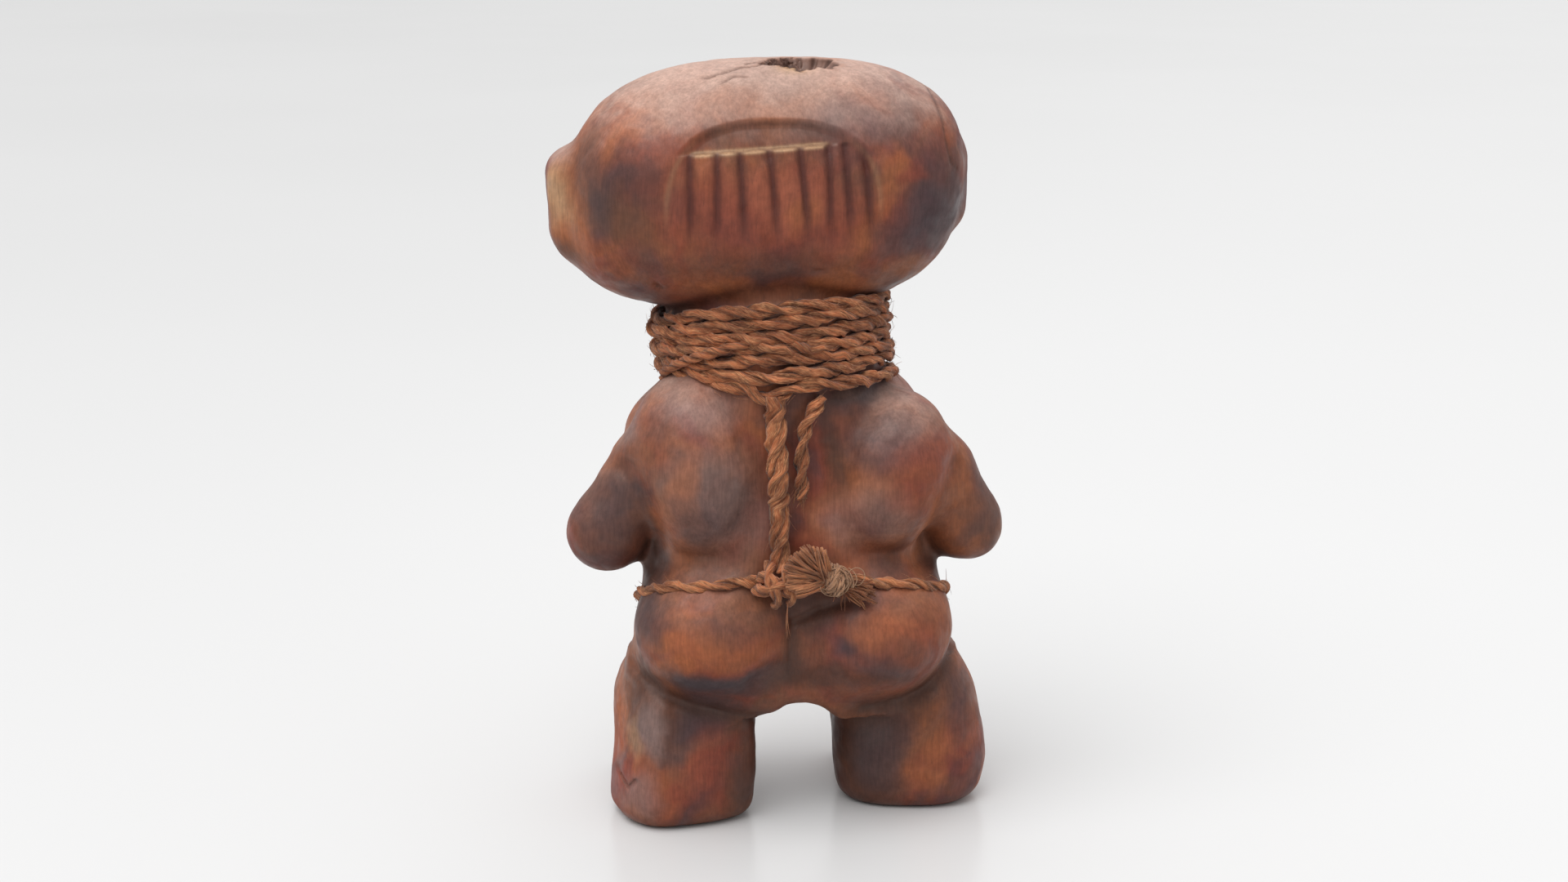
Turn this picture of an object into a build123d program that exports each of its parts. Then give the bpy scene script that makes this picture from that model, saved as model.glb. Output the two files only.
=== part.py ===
from build123d import *
import os
from math import pi, radians, tan

# A carved wooden fertility doll bound with plant-fibre cord.
# Millimetres. The doll faces -Y, its own left hand is towards +X, and it stands on z = 0.
# The origin is at the middle of the box around the doll, on the ground.

# Driving dimensions of the carving
HEIGHT = 250.0
HEAD_CENTRE = (4.0, -3.0, 211.0)
HEAD_HALF_WIDTH = 63.0
HEAD_RADIUS = HEIGHT - HEAD_CENTRE[2]
HEAD_END_RADIUS = 34.5  # where the barrel's long arc meets the rounded end
HEAD_END_X = 46.0
HEAD_TILT = (0.0, 2.0, 0.0)  # degrees about Y: the left ear sits lower
EAR_REACH = {"left": 70.0, "right": -66.5}  # from the middle of the head to the ear's outer face
EAR_SIZE = (20.0, 27.0, 35.0)
EAR_ROUNDING = 6.0
EAR_OFFSET = (0.0, -8.0, -5.0)  # from the middle of the head

PIT_CENTRE = (-9.0, 3.0)
PIT_RADIUS = 8.5
PIT_DEPTH = 3.5
SOCKET_RADIUS = 3.0
SOCKET_LENGTH = 14.0

NECK_CENTRE = (1.5, -2.0, 160.5)
NECK_HALF = (35.4, 31.5)
NECK_LENGTH = 46.0
NECK_TILT = (5.5, 3.0, 0.0)  # degrees about X and Y: the back and the right side stand higher

# Level sections of the trunk: centre x, centre y, z, half width, half depth
TRUNK = (
    (-6.0, 2.0, 44.0, 50.0, 25.0),
    (-6.0, 3.0, 58.0, 54.0, 30.0),
    (-4.5, 1.0, 76.0, 49.5, 28.5),
    (-3.5, -1.0, 100.0, 50.0, 31.0),
    (-2.5, -3.0, 125.0, 54.0, 33.0),
    (-3.0, -3.0, 136.0, 50.5, 32.0),
    (-2.0, -3.0, 147.0, 40.0, 29.0),
)
# Ellipsoids on the trunk: centre and half sizes
BUTTOCKS = (((25.0, 23.0, 62.5), (26.0, 25.0, 20.0)), ((-31.0, 23.0, 61.0), (29.0, 25.0, 21.0)))
SHOULDER_BLADES = (((28.0, 16.0, 116.0), (26.0, 18.0, 29.0)), ((-32.0, 16.0, 116.0), (27.0, 18.0, 29.0)))
BREASTS = (((22.0, -24.0, 120.0), (17.0, 18.0, 17.0)), ((-26.0, -24.0, 120.0), (17.0, 18.0, 17.0)))
BELLY = ((-2.0, -19.0, 80.0), (33.0, 28.0, 26.0))
NOSE = ((4.0, -41.0, 208.0), (6.0, 7.0, 15.0))

# Each arm runs through balls: centre and radius
LEFT_ARM = (((41.0, 4.0, 117.0), 15.0), ((56.0, 4.0, 99.5), 13.0), ((26.0, -36.0, 92.0), 9.5))
RIGHT_ARM = (((-46.0, 4.0, 118.0), 16.0), ((-61.0, 4.0, 98.5), 13.0), ((-29.0, -36.0, 92.0), 9.5))

# Each leg: shin section (centre x, centre y, half width, half depth) and where its top's centre is
LEFT_LEG = ((32.0, 1.0, 24.0, 23.5), 31.0)
RIGHT_LEG = ((-45.0, -4.0, 26.0, 22.0), -39.5)
LEG_HEIGHT = 52.0
FOOT_HALF_WIDTH = 17.0
FOOT_REACH = 47.5  # how far the toes stand in front of the origin
FOOT_HEIGHT = 17.0
THIGH_HALF = (21.0, 25.0, 20.0)
THIGH_OFFSET = (-19.0, 38.0)  # y and z of the thigh's centre, by the shin's
SOLE_TRIM = 6.0  # material below the ground, cut off to leave flat soles

# Driving dimensions of the cords
CORD_DIAMETER = 4.2
CORD_CLEARANCE = 0.15
NECK_TURNS = 7
TAIL_DIAMETER_LEFT = 7.0
TAIL_DIAMETER_RIGHT = 4.6
WAIST_CENTRE = (-5.3, 1.0, 73.5)
WAIST_HALF = (49.5, 33.5)
WAIST_TILT = (23.0, -1.8, 0.0)  # degrees about X and Y: it rides up over the spine
WAIST_KNOT = ((3.5, 33.5, 87.5), (8.5, 5.5, 7.5))
BINDING = ((-12.5, 34.5, 88.5), 5.4, 6.0)  # centre, radius and length of the whipping
FAN = ((-5.0, 43.3, 93.0), (8.5, 2.9, 7.5))
BRUSH = ((-21.5, 36.4, 86.0), (5.6, 3.4, 4.4))

# Routes down the spine, from the winding on
LEFT_TAIL = (
    (5.6, 31.3, 148.3), (5.1, 31.9, 137.0), (4.6, 32.3, 125.0), (4.2, 32.0, 112.0), (4.0, 31.6, 99.5),
    (3.4, 32.4, 91.0),
)
RIGHT_TAIL = (
    (-10.2, 30.4, 147.4), (-5.4, 31.6, 141.4), (-3.5, 31.6, 133.5), (-3.1, 31.5, 124.0), (-3.3, 31.6, 114.5),
)
ARC_SHARE = 0.45  # share of the shorter run that an arc's tangent may take


def ellipsoid(centre, half):
    """A closed ellipsoid with its half sizes along X, Y and Z."""
    return Pos(*centre) * scale(Sphere(1.0), by=half)


def loft_through(sections):
    """One solid through level ellipses."""
    faces = [Pos(x, y, z) * make_face(Ellipse(a, b).edges()) for x, y, z, a, b in sections]
    return loft(Sketch() + faces)


def limb(balls):
    """Balls joined by cones, as one solid."""
    solid = Part()
    for (start, r_start), (end, r_end) in zip(balls, balls[1:]):
        run = Vector(*end) - Vector(*start)
        frame = Plane(origin=start, z_dir=run)
        cone = frame * Pos(0, 0, run.length / 2) * Cone(r_start, r_end, run.length)
        solid += cone
    for centre, radius in balls:
        solid += Pos(*centre) * Sphere(radius)
    return solid


def make_head():
    """A barrel that lies along X, with an ear lug at each end."""
    half, end_x, end_r = HEAD_HALF_WIDTH, HEAD_END_X, HEAD_END_RADIUS
    crown = ThreePointArc((-end_x, end_r), (0, HEAD_RADIUS), (end_x, end_r))
    left = ThreePointArc((end_x, end_r), (half - 3.5, end_r * 0.62), (half, 0))
    right = ThreePointArc((-end_x, end_r), (3.5 - half, end_r * 0.62), (-half, 0))
    outline = Curve() + [crown, left, right, Line((-half, 0), (half, 0))]
    head = revolve(make_face(outline.edges()), axis=Axis.X)
    lug = fillet(Box(*EAR_SIZE).edges(), EAR_ROUNDING)
    for reach in EAR_REACH.values():
        inset = EAR_SIZE[0] / 2 if reach > 0 else -EAR_SIZE[0] / 2
        head += Pos(*EAR_OFFSET) * Pos(reach - inset, 0, 0) * lug
    return Location(HEAD_CENTRE, HEAD_TILT) * head


def make_leg(leg):
    """A thick shin, a thigh that comes forward, and a foot with a flat sole."""
    (x, y, a, b), top_x = leg
    shin = loft_through(
        (
            (x, y, -SOLE_TRIM, a - 3, b - 4),
            (x, y, 14, a, b),
            ((2 * x + top_x) / 3, y, 30, a - 1, b),
            (top_x, y, LEG_HEIGHT, a - 4, b),
        )
    )
    thigh = ellipsoid((top_x, y + THIGH_OFFSET[0], THIGH_OFFSET[1]), THIGH_HALF)
    length = FOOT_REACH + y
    foot = fillet(Box(2 * FOOT_HALF_WIDTH, length, FOOT_HEIGHT + SOLE_TRIM).edges(), 5.5)
    foot = Pos(x, y - length / 2, (FOOT_HEIGHT - SOLE_TRIM) / 2) * foot
    return shin + thigh + foot


def neck_frame():
    """Where the neck's axis stands, leaning with the head."""
    return Location(NECK_CENTRE, NECK_TILT)


def elliptic_post(half_x, half_y, height):
    """An elliptic post, centred on its frame."""
    return Pos(0, 0, -height / 2) * extrude(make_face(Ellipse(half_x, half_y).edges()), height)


def winding_room():
    """The ring that the neck cord fills, cut out of the wood around the neck."""
    height = NECK_TURNS * CORD_DIAMETER + 2 * CORD_CLEARANCE
    reach = CORD_DIAMETER + 2 * CORD_CLEARANCE
    ring = elliptic_post(NECK_HALF[0] + reach, NECK_HALF[1] + reach, height)
    ring -= elliptic_post(*NECK_HALF, height + 1)
    return neck_frame() * ring


def make_neck_cord():
    """The winding as one ring, its outside a row of half rounds, one for each turn."""
    inner = NECK_HALF[0] + CORD_CLEARANCE
    radius = CORD_DIAMETER / 2
    bottom = -NECK_TURNS * radius
    top = -bottom
    outline = [Line((inner + radius, top), (inner, top)), Line((inner, top), (inner, bottom))]
    outline.append(Line((inner, bottom), (inner + radius, bottom)))
    for turn in range(NECK_TURNS):
        low = bottom + turn * CORD_DIAMETER
        start = (inner + radius, low)
        crest = (inner + CORD_DIAMETER, low + radius)
        outline.append(ThreePointArc(start, crest, (inner + radius, low + CORD_DIAMETER)))
    section = Plane.XZ * make_face(Curve() + outline)
    ring = revolve(section, axis=Axis.Z)
    squeeze = (NECK_HALF[1] + CORD_CLEARANCE) / inner
    return neck_frame() * scale(ring, by=(1.0, squeeze, 1.0))


def tube(points, diameter):
    """A round cord through a route of straight runs joined by tangent arcs."""
    places = [Vector(*p) for p in points]
    runs = [b - a for a, b in zip(places, places[1:])]
    radii = []
    for before, after in zip(runs, runs[1:]):
        shorter = min(before.length, after.length)
        radii.append(ARC_SHARE * shorter / tan(radians(before.get_angle(after)) / 2))
    path = FilletPolyline(*points, radius=radii)
    start = Plane(origin=path @ 0, z_dir=path % 0)
    solid = sweep(start * Circle(diameter / 2), path=path)
    filled = solid.volume / (pi * diameter**2 / 4 * path.length)
    print(f"tube of {diameter:.2f}: length {path.length:.1f}, filled {filled:.3f}")
    print(f"  bend radii {[round(r) for r in radii]}")
    return solid


def waist_loop(grow=0.0):
    """The closed turn round the waist, higher over the spine."""
    loop = Ellipse(*WAIST_HALF).edges()[0]
    section = Plane(origin=loop @ 0, z_dir=loop % 0) * Circle(CORD_DIAMETER / 2 + grow)
    return Location(WAIST_CENTRE, WAIST_TILT) * sweep(section, path=loop)


def make_binding(grow=0.0):
    """The twine whipping as a short rounded barrel that lies along X."""
    centre, radius, length = BINDING
    barrel = Cylinder(radius + grow, length + 2 * grow)
    barrel = fillet(barrel.edges(), radius * 0.35)
    return Pos(*centre) * Rot(0, 90, 0) * barrel


def lump(shape, grow=0.0):
    """A knot, fan or brush as an ellipsoid, given by its centre and half sizes."""
    centre, half = shape
    return ellipsoid(centre, tuple(h + grow for h in half))


def make_cords():
    """Every cord piece by its node's name, and the rooms that the carving leaves for them."""
    gap = CORD_CLEARANCE
    waist_room = waist_loop(gap)
    left_room = tube(LEFT_TAIL, TAIL_DIAMETER_LEFT + 2 * gap)
    right_room = tube(RIGHT_TAIL, TAIL_DIAMETER_RIGHT + 2 * gap)
    cords = {
        "neck_cord": make_neck_cord(),
        "waist_cord": waist_loop(),
        "spine_cord_left": tube(LEFT_TAIL, TAIL_DIAMETER_LEFT),
        "spine_cord_right": tube(RIGHT_TAIL, TAIL_DIAMETER_RIGHT),
        "waist_knot": lump(WAIST_KNOT) - waist_room - left_room,
        "knot_binding": make_binding() - waist_room,
        "tassel_left": lump(FAN),
        "tassel_right": lump(BRUSH),
    }
    rooms = [winding_room(), waist_room, left_room, right_room, lump(WAIST_KNOT, gap), make_binding(gap)]
    return cords, rooms


def make_wood():
    """The carving before anything is cut from it."""
    wood = make_head() + neck_frame() * elliptic_post(*NECK_HALF, NECK_LENGTH)
    wood += loft_through(TRUNK)
    for centre, half in (*BUTTOCKS, *SHOULDER_BLADES, *BREASTS, BELLY, NOSE):
        wood += ellipsoid(centre, half)
    for arm in (LEFT_ARM, RIGHT_ARM):
        wood += limb(arm)
    for leg in (LEFT_LEG, RIGHT_LEG):
        wood += make_leg(leg)
    return wood


def make_figure(rooms):
    """The carving, with room for the cords, a socket in the crown and flat soles."""
    wood = make_wood()
    for room in rooms:
        wood -= room
    wood -= Pos(0, 0, -HEIGHT) * Box(2 * HEIGHT, 2 * HEIGHT, 2 * HEIGHT)
    pit_floor = HEIGHT - PIT_DEPTH
    wood -= Pos(*PIT_CENTRE, pit_floor + PIT_DEPTH) * Cylinder(PIT_RADIUS, 2 * PIT_DEPTH)
    return wood - Pos(*PIT_CENTRE, pit_floor - SOCKET_LENGTH / 2) * Cylinder(SOCKET_RADIUS, SOCKET_LENGTH)


def write(node, solid):
    """Writes one node's STEP file."""
    export_step(solid, f"parts/{node}.step")
    box = solid.bounding_box()
    print(f"{node}: {len(solid.solids())} solid, {box.min} to {box.max}")


def main():
    """Builds the cords and the carving around them, and writes each as its own node."""
    os.makedirs("parts", exist_ok=True)
    cords, rooms = make_cords()
    write("carved_figure", make_figure(rooms))
    for node, solid in cords.items():
        write(node, solid)


main()
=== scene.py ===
"""A carved wooden fertility doll, bound at the neck and waist with plant-fibre cord."""
import logging
import math
from collections.abc import Callable
from dataclasses import dataclass, field
from enum import Enum

import bmesh
import bpy
import numpy as np
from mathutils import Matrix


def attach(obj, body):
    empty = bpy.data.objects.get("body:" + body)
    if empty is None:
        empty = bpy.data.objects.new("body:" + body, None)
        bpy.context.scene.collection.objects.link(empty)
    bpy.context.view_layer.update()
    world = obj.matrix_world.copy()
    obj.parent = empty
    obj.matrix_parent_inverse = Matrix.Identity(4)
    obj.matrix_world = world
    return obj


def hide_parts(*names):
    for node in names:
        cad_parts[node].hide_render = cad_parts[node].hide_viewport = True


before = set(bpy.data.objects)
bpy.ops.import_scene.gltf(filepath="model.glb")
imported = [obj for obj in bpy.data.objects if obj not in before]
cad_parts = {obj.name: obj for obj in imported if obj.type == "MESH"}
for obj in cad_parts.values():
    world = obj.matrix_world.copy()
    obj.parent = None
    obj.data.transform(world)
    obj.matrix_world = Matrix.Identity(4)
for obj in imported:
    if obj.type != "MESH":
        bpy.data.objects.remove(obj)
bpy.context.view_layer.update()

MM = 0.001
Array = np.ndarray
Place = tuple[float, float, float]
Points = tuple[Array, ...]
Form = Callable[[Points], Array]
Rng = np.random.Generator
Socket = bpy.types.NodeSocket
log = logging.getLogger("doll")


# ------------------------------------------------------------------ sculpting, in millimetres


def smoothstep(x: Array, low: float, high: float) -> Array:
    """0 below low, 1 above high, and an even curve between them."""
    t = np.clip((x - low) / (high - low), 0.0, 1.0)
    return t * t * (3.0 - 2.0 * t)


def turned(p: Points, centre: Place, turn: Place) -> Points:
    """Points as a form sees them.

    Args:
        p: the points' x, y and z.
        centre: where the form stands.
        turn: how far it is turned about X, Y and Z, in degrees.
    Returns:
        x, y and z in the form's own frame.
    """
    x, y, z = (v - c for v, c in zip(p, centre))
    for axis, angle in enumerate(turn):
        if angle:
            c, s = math.cos(math.radians(angle)), math.sin(math.radians(angle))
            if axis == 0:
                y, z = c * y + s * z, c * z - s * y
            elif axis == 1:
                x, z = c * x - s * z, c * z + s * x
            else:
                x, y = c * x + s * y, c * y - s * x
    return x, y, z


def ellipsoid(p: Points, centre: Place, half: Place, turn: Place = (0, 0, 0)) -> Array:
    """Distance to an egg form with those half sizes."""
    x, y, z = turned(p, centre, turn)
    a, b, c = half
    k0 = np.sqrt((x / a) ** 2 + (y / b) ** 2 + (z / c) ** 2)
    k1 = np.sqrt((x / a**2) ** 2 + (y / b**2) ** 2 + (z / c**2) ** 2) + 1e-6
    return k0 * (k0 - 1.0) / k1


def block(p: Points, centre: Place, half: Place, rounding: float, turn: Place = (0, 0, 0)) -> Array:
    """Distance to a block with rounded edges."""
    x, y, z = turned(p, centre, turn)
    qx, qy, qz = (np.abs(v) - (h - rounding) for v, h in zip((x, y, z), half))
    outside = np.sqrt(np.maximum(qx, 0) ** 2 + np.maximum(qy, 0) ** 2 + np.maximum(qz, 0) ** 2)
    return outside + np.minimum(np.maximum(qx, np.maximum(qy, qz)), 0) - rounding


def limb(p: Points, start: Place, end: Place, r_start: float, r_end: float) -> Array:
    """Distance to a round bar that changes from one radius to the other."""
    run = tuple(e - s for s, e in zip(start, end))
    x, y, z = (v - s for v, s in zip(p, start))
    t = np.clip((x * run[0] + y * run[1] + z * run[2]) / sum(r * r for r in run), 0.0, 1.0)
    away = np.sqrt((x - t * run[0]) ** 2 + (y - t * run[1]) ** 2 + (z - t * run[2]) ** 2)
    return away - (r_start + (r_end - r_start) * t)


def join(a: Array, b: Array, k: float) -> Array:
    """Two forms as one, with a fillet about k wide."""
    h = np.maximum(k - np.abs(a - b), 0.0) / k
    return np.minimum(a, b) - h * h * k * 0.25


def cut(a: Array, b: Array, k: float) -> Array:
    """Form a with b taken away, its edge rounded over k."""
    return -join(-a, b, k)


def score(d: Array, p: Points, line: tuple[Place, ...], width: float, k: float = 0.6) -> Array:
    """Form d with a knife line cut along the points of line."""
    for start, end in zip(line, line[1:]):
        d = cut(d, limb(p, start, end, width, width), k)
    return d


def line_distance(u: Array, v: Array, line: tuple) -> Array:
    """Distance from points u, v of a plane to a line through the points of line."""
    away = np.full_like(u, 1e3)
    for (a, b), (c, d) in zip(line, line[1:]):
        t = np.clip(((u - a) * (c - a) + (v - b) * (d - b)) / ((c - a) ** 2 + (d - b) ** 2), 0.0, 1.0)
        away = np.minimum(away, np.sqrt((u - a - t * (c - a)) ** 2 + (v - b - t * (d - b)) ** 2))
    return away


def column(p: Points, sections: tuple, power: float, turn: float = 0.0) -> Array:
    """Distance to an upright body.

    Args:
        p: the points' x, y and z.
        sections: level sections (centre x, centre y, height, half x, half y), lowest first.
        power: 2 for elliptic sections, more for squarer ones.
        turn: how far the sections are turned about Z, in degrees.
    Returns:
        The distance, below 0 inside.
    """
    ease = 6.0
    heights = [s[2] for s in sections]
    fine = np.arange(heights[0] - ease, heights[-1] + ease, 0.5)
    kernel = np.hanning(int(4 * ease) + 1)
    kernel /= kernel.sum()
    values = []
    for i in (0, 1, 3, 4):
        raw = np.pad(np.interp(fine, heights, [s[i] for s in sections]), len(kernel) // 2, mode="edge")
        values.append(np.interp(p[2], fine, np.convolve(raw, kernel, mode="valid")))
    cx, cy, a, b = values
    x, y = p[0] - cx, p[1] - cy
    if turn:
        c, s = math.cos(math.radians(turn)), math.sin(math.radians(turn))
        x, y = c * x + s * y, c * y - s * x
    k = ((np.abs(x) / a) ** power + (np.abs(y) / b) ** power) ** (1 / power)
    r = np.sqrt(x**2 + y**2)
    side = np.where(k > 0.05, r - r / np.maximum(k, 0.05), -np.minimum(a, b))
    return np.maximum(side, np.maximum(heights[0] - p[2], p[2] - heights[-1]))


def ripple(p: Points, length: float, shift: float) -> Array:
    """A gentle unevenness from -1 to 1, its hollows about length apart."""
    x, y, z = (v * (6.283 / length) for v in p)
    a = np.sin(x + 1.7 * np.sin(0.61 * z + shift) + shift)
    b = np.sin(0.83 * y + 1.3 * np.sin(0.77 * x + 2.1 * shift) + 1.9)
    c = np.sin(0.71 * z + 1.5 * np.sin(0.57 * y + 0.7 * shift) + 3.1 * shift)
    return (a * b + b * c + c * a) / 3.0


def surface_net(form: Form, low: Place, high: Place, step: float) -> tuple[Array, Array]:
    """Meshes the surface of a form.

    Args:
        form: gives the distance at points x, y, z.
        low, high: corners of the box that holds it.
        step: size of the grid's cells.
    Returns:
        Corners, one in each cell that the surface crosses, and quads.
    """
    counts = [int(math.ceil((h - l) / step)) + 1 for l, h in zip(low, high)]
    axes = [(l + step * np.arange(n)).astype(np.float32) for l, n in zip(low, counts)]
    inside = np.empty(counts, bool)
    slab = 16
    for i in range(0, counts[0], slab):
        inside[i : i + slab] = form(np.meshgrid(axes[0][i : i + slab], axes[1], axes[2], indexing="ij")) < 0
    nx, ny, nz = (n - 1 for n in counts)
    total = np.zeros((nx, ny, nz), np.int8)
    for corner in range(8):
        dx, dy, dz = corner & 1, corner >> 1 & 1, corner >> 2
        total += inside[dx : dx + nx, dy : dy + ny, dz : dz + nz]
    active = (total > 0) & (total < 8)
    index = np.full(active.shape, -1, np.int64)
    cells = np.argwhere(active)
    index[active] = np.arange(len(cells))
    quads = []
    for axis in range(3):
        u, v = [a for a in range(3) if a != axis]
        first, second = [slice(None)] * 3, [slice(None)] * 3
        first[axis], second[axis] = slice(None, -1), slice(1, None)
        where = np.argwhere(inside[tuple(first)] != inside[tuple(second)])
        sign = inside[tuple(where.T)]
        ring = []
        for du, dv in ((-1, -1), (0, -1), (0, 0), (-1, 0)):
            cell = where.copy()
            cell[:, u] += du
            cell[:, v] += dv
            ring.append(index[tuple(cell.T)])
        ring = np.stack(ring, 1)
        flip = sign if axis != 1 else ~sign
        ring[~flip] = ring[~flip][:, ::-1]
        quads.append(ring)
    return np.array(low) + (cells + 0.5) * step, np.concatenate(quads)


def slope(form: Form, points: Array, reach: float = 0.15) -> Array:
    """How the distance changes along X, Y and Z at each point."""
    result = np.empty_like(points)
    for axis in range(3):
        shift = np.zeros(3)
        shift[axis] = reach
        result[:, axis] = form(tuple((points + shift).T)) - form(tuple((points - shift).T))
    return result / (2 * reach)


def settle(form: Form, points: Array, edges: Array, rounds: int) -> Array:
    """Moves mesh corners onto a form.

    Args:
        form: gives the distance at points x, y, z.
        points: the mesh corners.
        edges: pairs of corners, used to even them out between the rounds.
        rounds: how often; the last round only moves them onto the form.
    Returns:
        The moved corners.
    """
    for turn in range(rounds):
        if turn < rounds - 1:
            total, count = np.zeros_like(points), np.zeros(len(points))
            for s, e in ((0, 1), (1, 0)):
                count += np.bincount(edges[:, s], minlength=len(points))
                for axis in range(3):
                    total[:, axis] += np.bincount(edges[:, s], points[edges[:, e], axis], len(points))
            points = 0.5 * points + 0.5 * total / np.maximum(count, 1)[:, None]
        away = form(tuple(points.T))
        rise = slope(form, points)
        step = (away / np.maximum((rise**2).sum(1), 0.05))[:, None] * rise
        points = points - np.clip(step, -1.5, 1.5)
    return points


@dataclass
class Figure:
    """The carved forms of the doll. It faces -Y, and its own left is +X."""

    head_centre: Place = (4.0, -3.0, 211.5)
    head_ends: tuple[float, float] = (65.0, 61.5)
    head_depths: tuple[float, float] = (38.0, 39.5)
    head_heights: tuple[float, float] = (39.6, 41.0)
    left_ear: tuple[Place, Place] = ((60.4, -9.5, 205.5), (12.9, 13.5, 17.2))
    right_ear: tuple[Place, Place] = ((-50.0, -9.0, 210.0), (11.6, 12.5, 14.0))
    neck_centre: Place = (1.5, -2.0, 160.5)
    neck_half: tuple[float, float] = (35.2, 31.3)
    neck_turn: Place = (5.5, 3.0, 0.0)
    trunk: tuple = (
        (-3.5, 1.0, 36.0, 48.0, 21.0), (-3.5, 1.0, 46.0, 54.0, 25.0), (-3.6, 1.0, 55.0, 54.5, 27.0),
        (-4.2, 0.5, 63.0, 50.8, 28.5), (-4.4, -0.5, 73.0, 48.2, 29.0), (-3.9, -1.0, 83.0, 48.6, 29.5),
        (-3.2, -2.0, 95.0, 48.4, 30.5), (-2.5, -3.0, 110.0, 49.5, 31.0), (-2.5, -3.5, 124.0, 48.5, 31.0),
        (-2.0, -3.0, 135.0, 44.0, 31.0), (-1.0, -2.5, 145.0, 36.5, 30.0), (0.5, -2.0, 156.0, 28.0, 26.0),
    )
    shoulders: tuple = (
        ((31.0, -10.0, 127.5), (18.5, 17.0, 17.0)),
        ((-32.0, -8.5, 128.5), (17.4, 17.0, 20.0)),
    )
    blades: tuple = (
        ((28.0, 11.0, 121.0), (22.5, 24.5, 32.0), (-6, 6, 0)),
        ((-33.5, 11.5, 117.0), (22.8, 25.0, 28.5), (-5, -14, 0)),
    )
    breasts: tuple = (((23.0, -25.0, 121.0), (15.0, 17.0, 15.0)), ((-26.0, -25.0, 121.0), (15.0, 17.0, 15.0)))
    belly: tuple = ((-2.0, -20.0, 79.0), (31.0, 25.0, 24.0))
    buttocks: tuple = (
        ((23.0, 13.5, 68.0), (26.0, 25.0, 23.0), (-14, 6, 0)),
        ((-29.0, 13.5, 66.5), (27.0, 26.0, 24.0), (-14, -4, 0)),
    )
    left_leg: tuple = (
        (33.2, 1.0, -6.0, 22.0, 19.0), (32.6, 1.0, 4.0, 23.8, 21.5), (31.0, 1.0, 13.0, 24.6, 22.8),
        (30.2, 0.5, 26.0, 24.0, 22.5), (29.8, 0.0, 42.0, 22.2, 22.0), (29.5, 0.0, 56.0, 19.0, 19.0),
    )
    right_leg: tuple = (
        (-43.5, -4.0, -6.0, 20.0, 17.0), (-45.0, -4.0, 3.0, 24.5, 19.5), (-45.6, -4.0, 14.0, 26.4, 21.0),
        (-44.8, -4.0, 24.0, 26.0, 21.5), (-42.6, -3.0, 40.0, 24.6, 22.0), (-40.0, -2.0, 54.0, 20.0, 19.0),
    )
    folds: tuple = (
        (((51.0, 55.5), (45.5, 51.0), (40.6, 47.0), (32.6, 43.5), (19.6, 39.5), (7.5, 37.5)), 2.4, 1.7),
        (((-57.5, 55.5), (-52.6, 49.0), (-46.6, 44.5), (-38.5, 41.5), (-26.0, 40.0)), 2.4, 1.6),
        (((-1.5, 72.5), (-9.0, 76.5), (-17.5, 79.5)), 1.7, 1.3),
        (((0.6, 84.0), (-0.6, 70.0), (-0.8, 54.0)), 2.2, 0.9),
        (((41.2, 44.0), (42.0, 30.0), (43.8, 19.0), (45.0, 9.0)), 3.2, -1.3),
        (((-50.0, 38.0), (-41.0, 23.0), (-35.0, 11.0)), 3.6, -1.1),
        (((57.1, 22.5), (54.7, 17.1), (51.8, 13.2), (49.7, 16.8)), 0.7, 0.8),
        (((41.6, 183.6), (40.0, 182.3)), 0.7, 0.9),
        (((-10.0, 187.6), (-7.6, 187.3)), 0.5, 0.4),
        (((42.0, 88.0), (43.0, 98.0), (46.0, 112.0), (50.0, 122.0)), 4.5, 1.8),
        (((-45.0, 88.0), (-45.5, 98.0), (-49.0, 112.0), (-54.0, 120.0)), 4.5, 1.8),
        (((20.0, 93.0), (31.0, 96.0), (38.0, 104.0)), 5.0, 0.8),
        (((-20.0, 92.0), (-32.0, 94.0), (-40.0, 100.0)), 5.0, 0.8),
    )
    ear_crack: tuple = ((-47.9, 241.1), (-49.8, 234.3), (-50.8, 226.1), (-52.3, 219.7), (-54.7, 217.4))
    crown_cracks: tuple = (
        ((25.0, 14.0), (19.0, 12.5), (13.0, 9.0), (8.0, 8.5), (5.0, 6.0)),
        ((20.0, 17.5), (16.0, 15.0), (12.0, 15.5)),
        ((11.0, 6.5), (3.0, 2.0), (-1.0, 2.5)),
    )
    grooves: tuple = (
        (31.6, 31.5), (23.3, 23.3), (16.1, 15.0), (6.8, 4.9), (-2.8, -4.7), (-11.6, -12.2), (-16.8, -18.4),
        (-23.0, -25.0),
    )
    groove_width: float = 1.35
    arch_half: tuple[float, float] = (33.5, 29.0)
    arch_foot: tuple[float, float] = (5.5, 205.0)
    ledge_end: tuple[float, float] = (31.1, 224.7)
    ledge_rise: float = 0.0587

    def head(self, p: Points) -> Array:
        """The barrel of the head, fuller at the lower left."""
        x, y, z = (v - c for v, c in zip(p, self.head_centre))
        x = x + 2.4 + 0.07 * z
        a = np.where(x > 0, self.head_ends[0], self.head_ends[1])
        b = np.where(y > 0, self.head_depths[0], self.head_depths[1])
        c = np.where(z > 0, self.head_heights[0], self.head_heights[1])
        girth = (np.abs(y / b) ** 2.25 + np.abs(z / c) ** 2.25) ** (1 / 2.25)
        k = (np.abs(x / a) ** 2.65 + girth**2.65) ** (1 / 2.65)
        r = np.sqrt(x**2 + y**2 + z**2) + 1e-6
        d = (r - r / np.maximum(k, 1e-3)) * 0.92
        return join(d, ellipsoid(p, (38.0, -4.0, 197.0), (28.5, 30.0, 19.5), (0, 8, 0)), 9.0)

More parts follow.
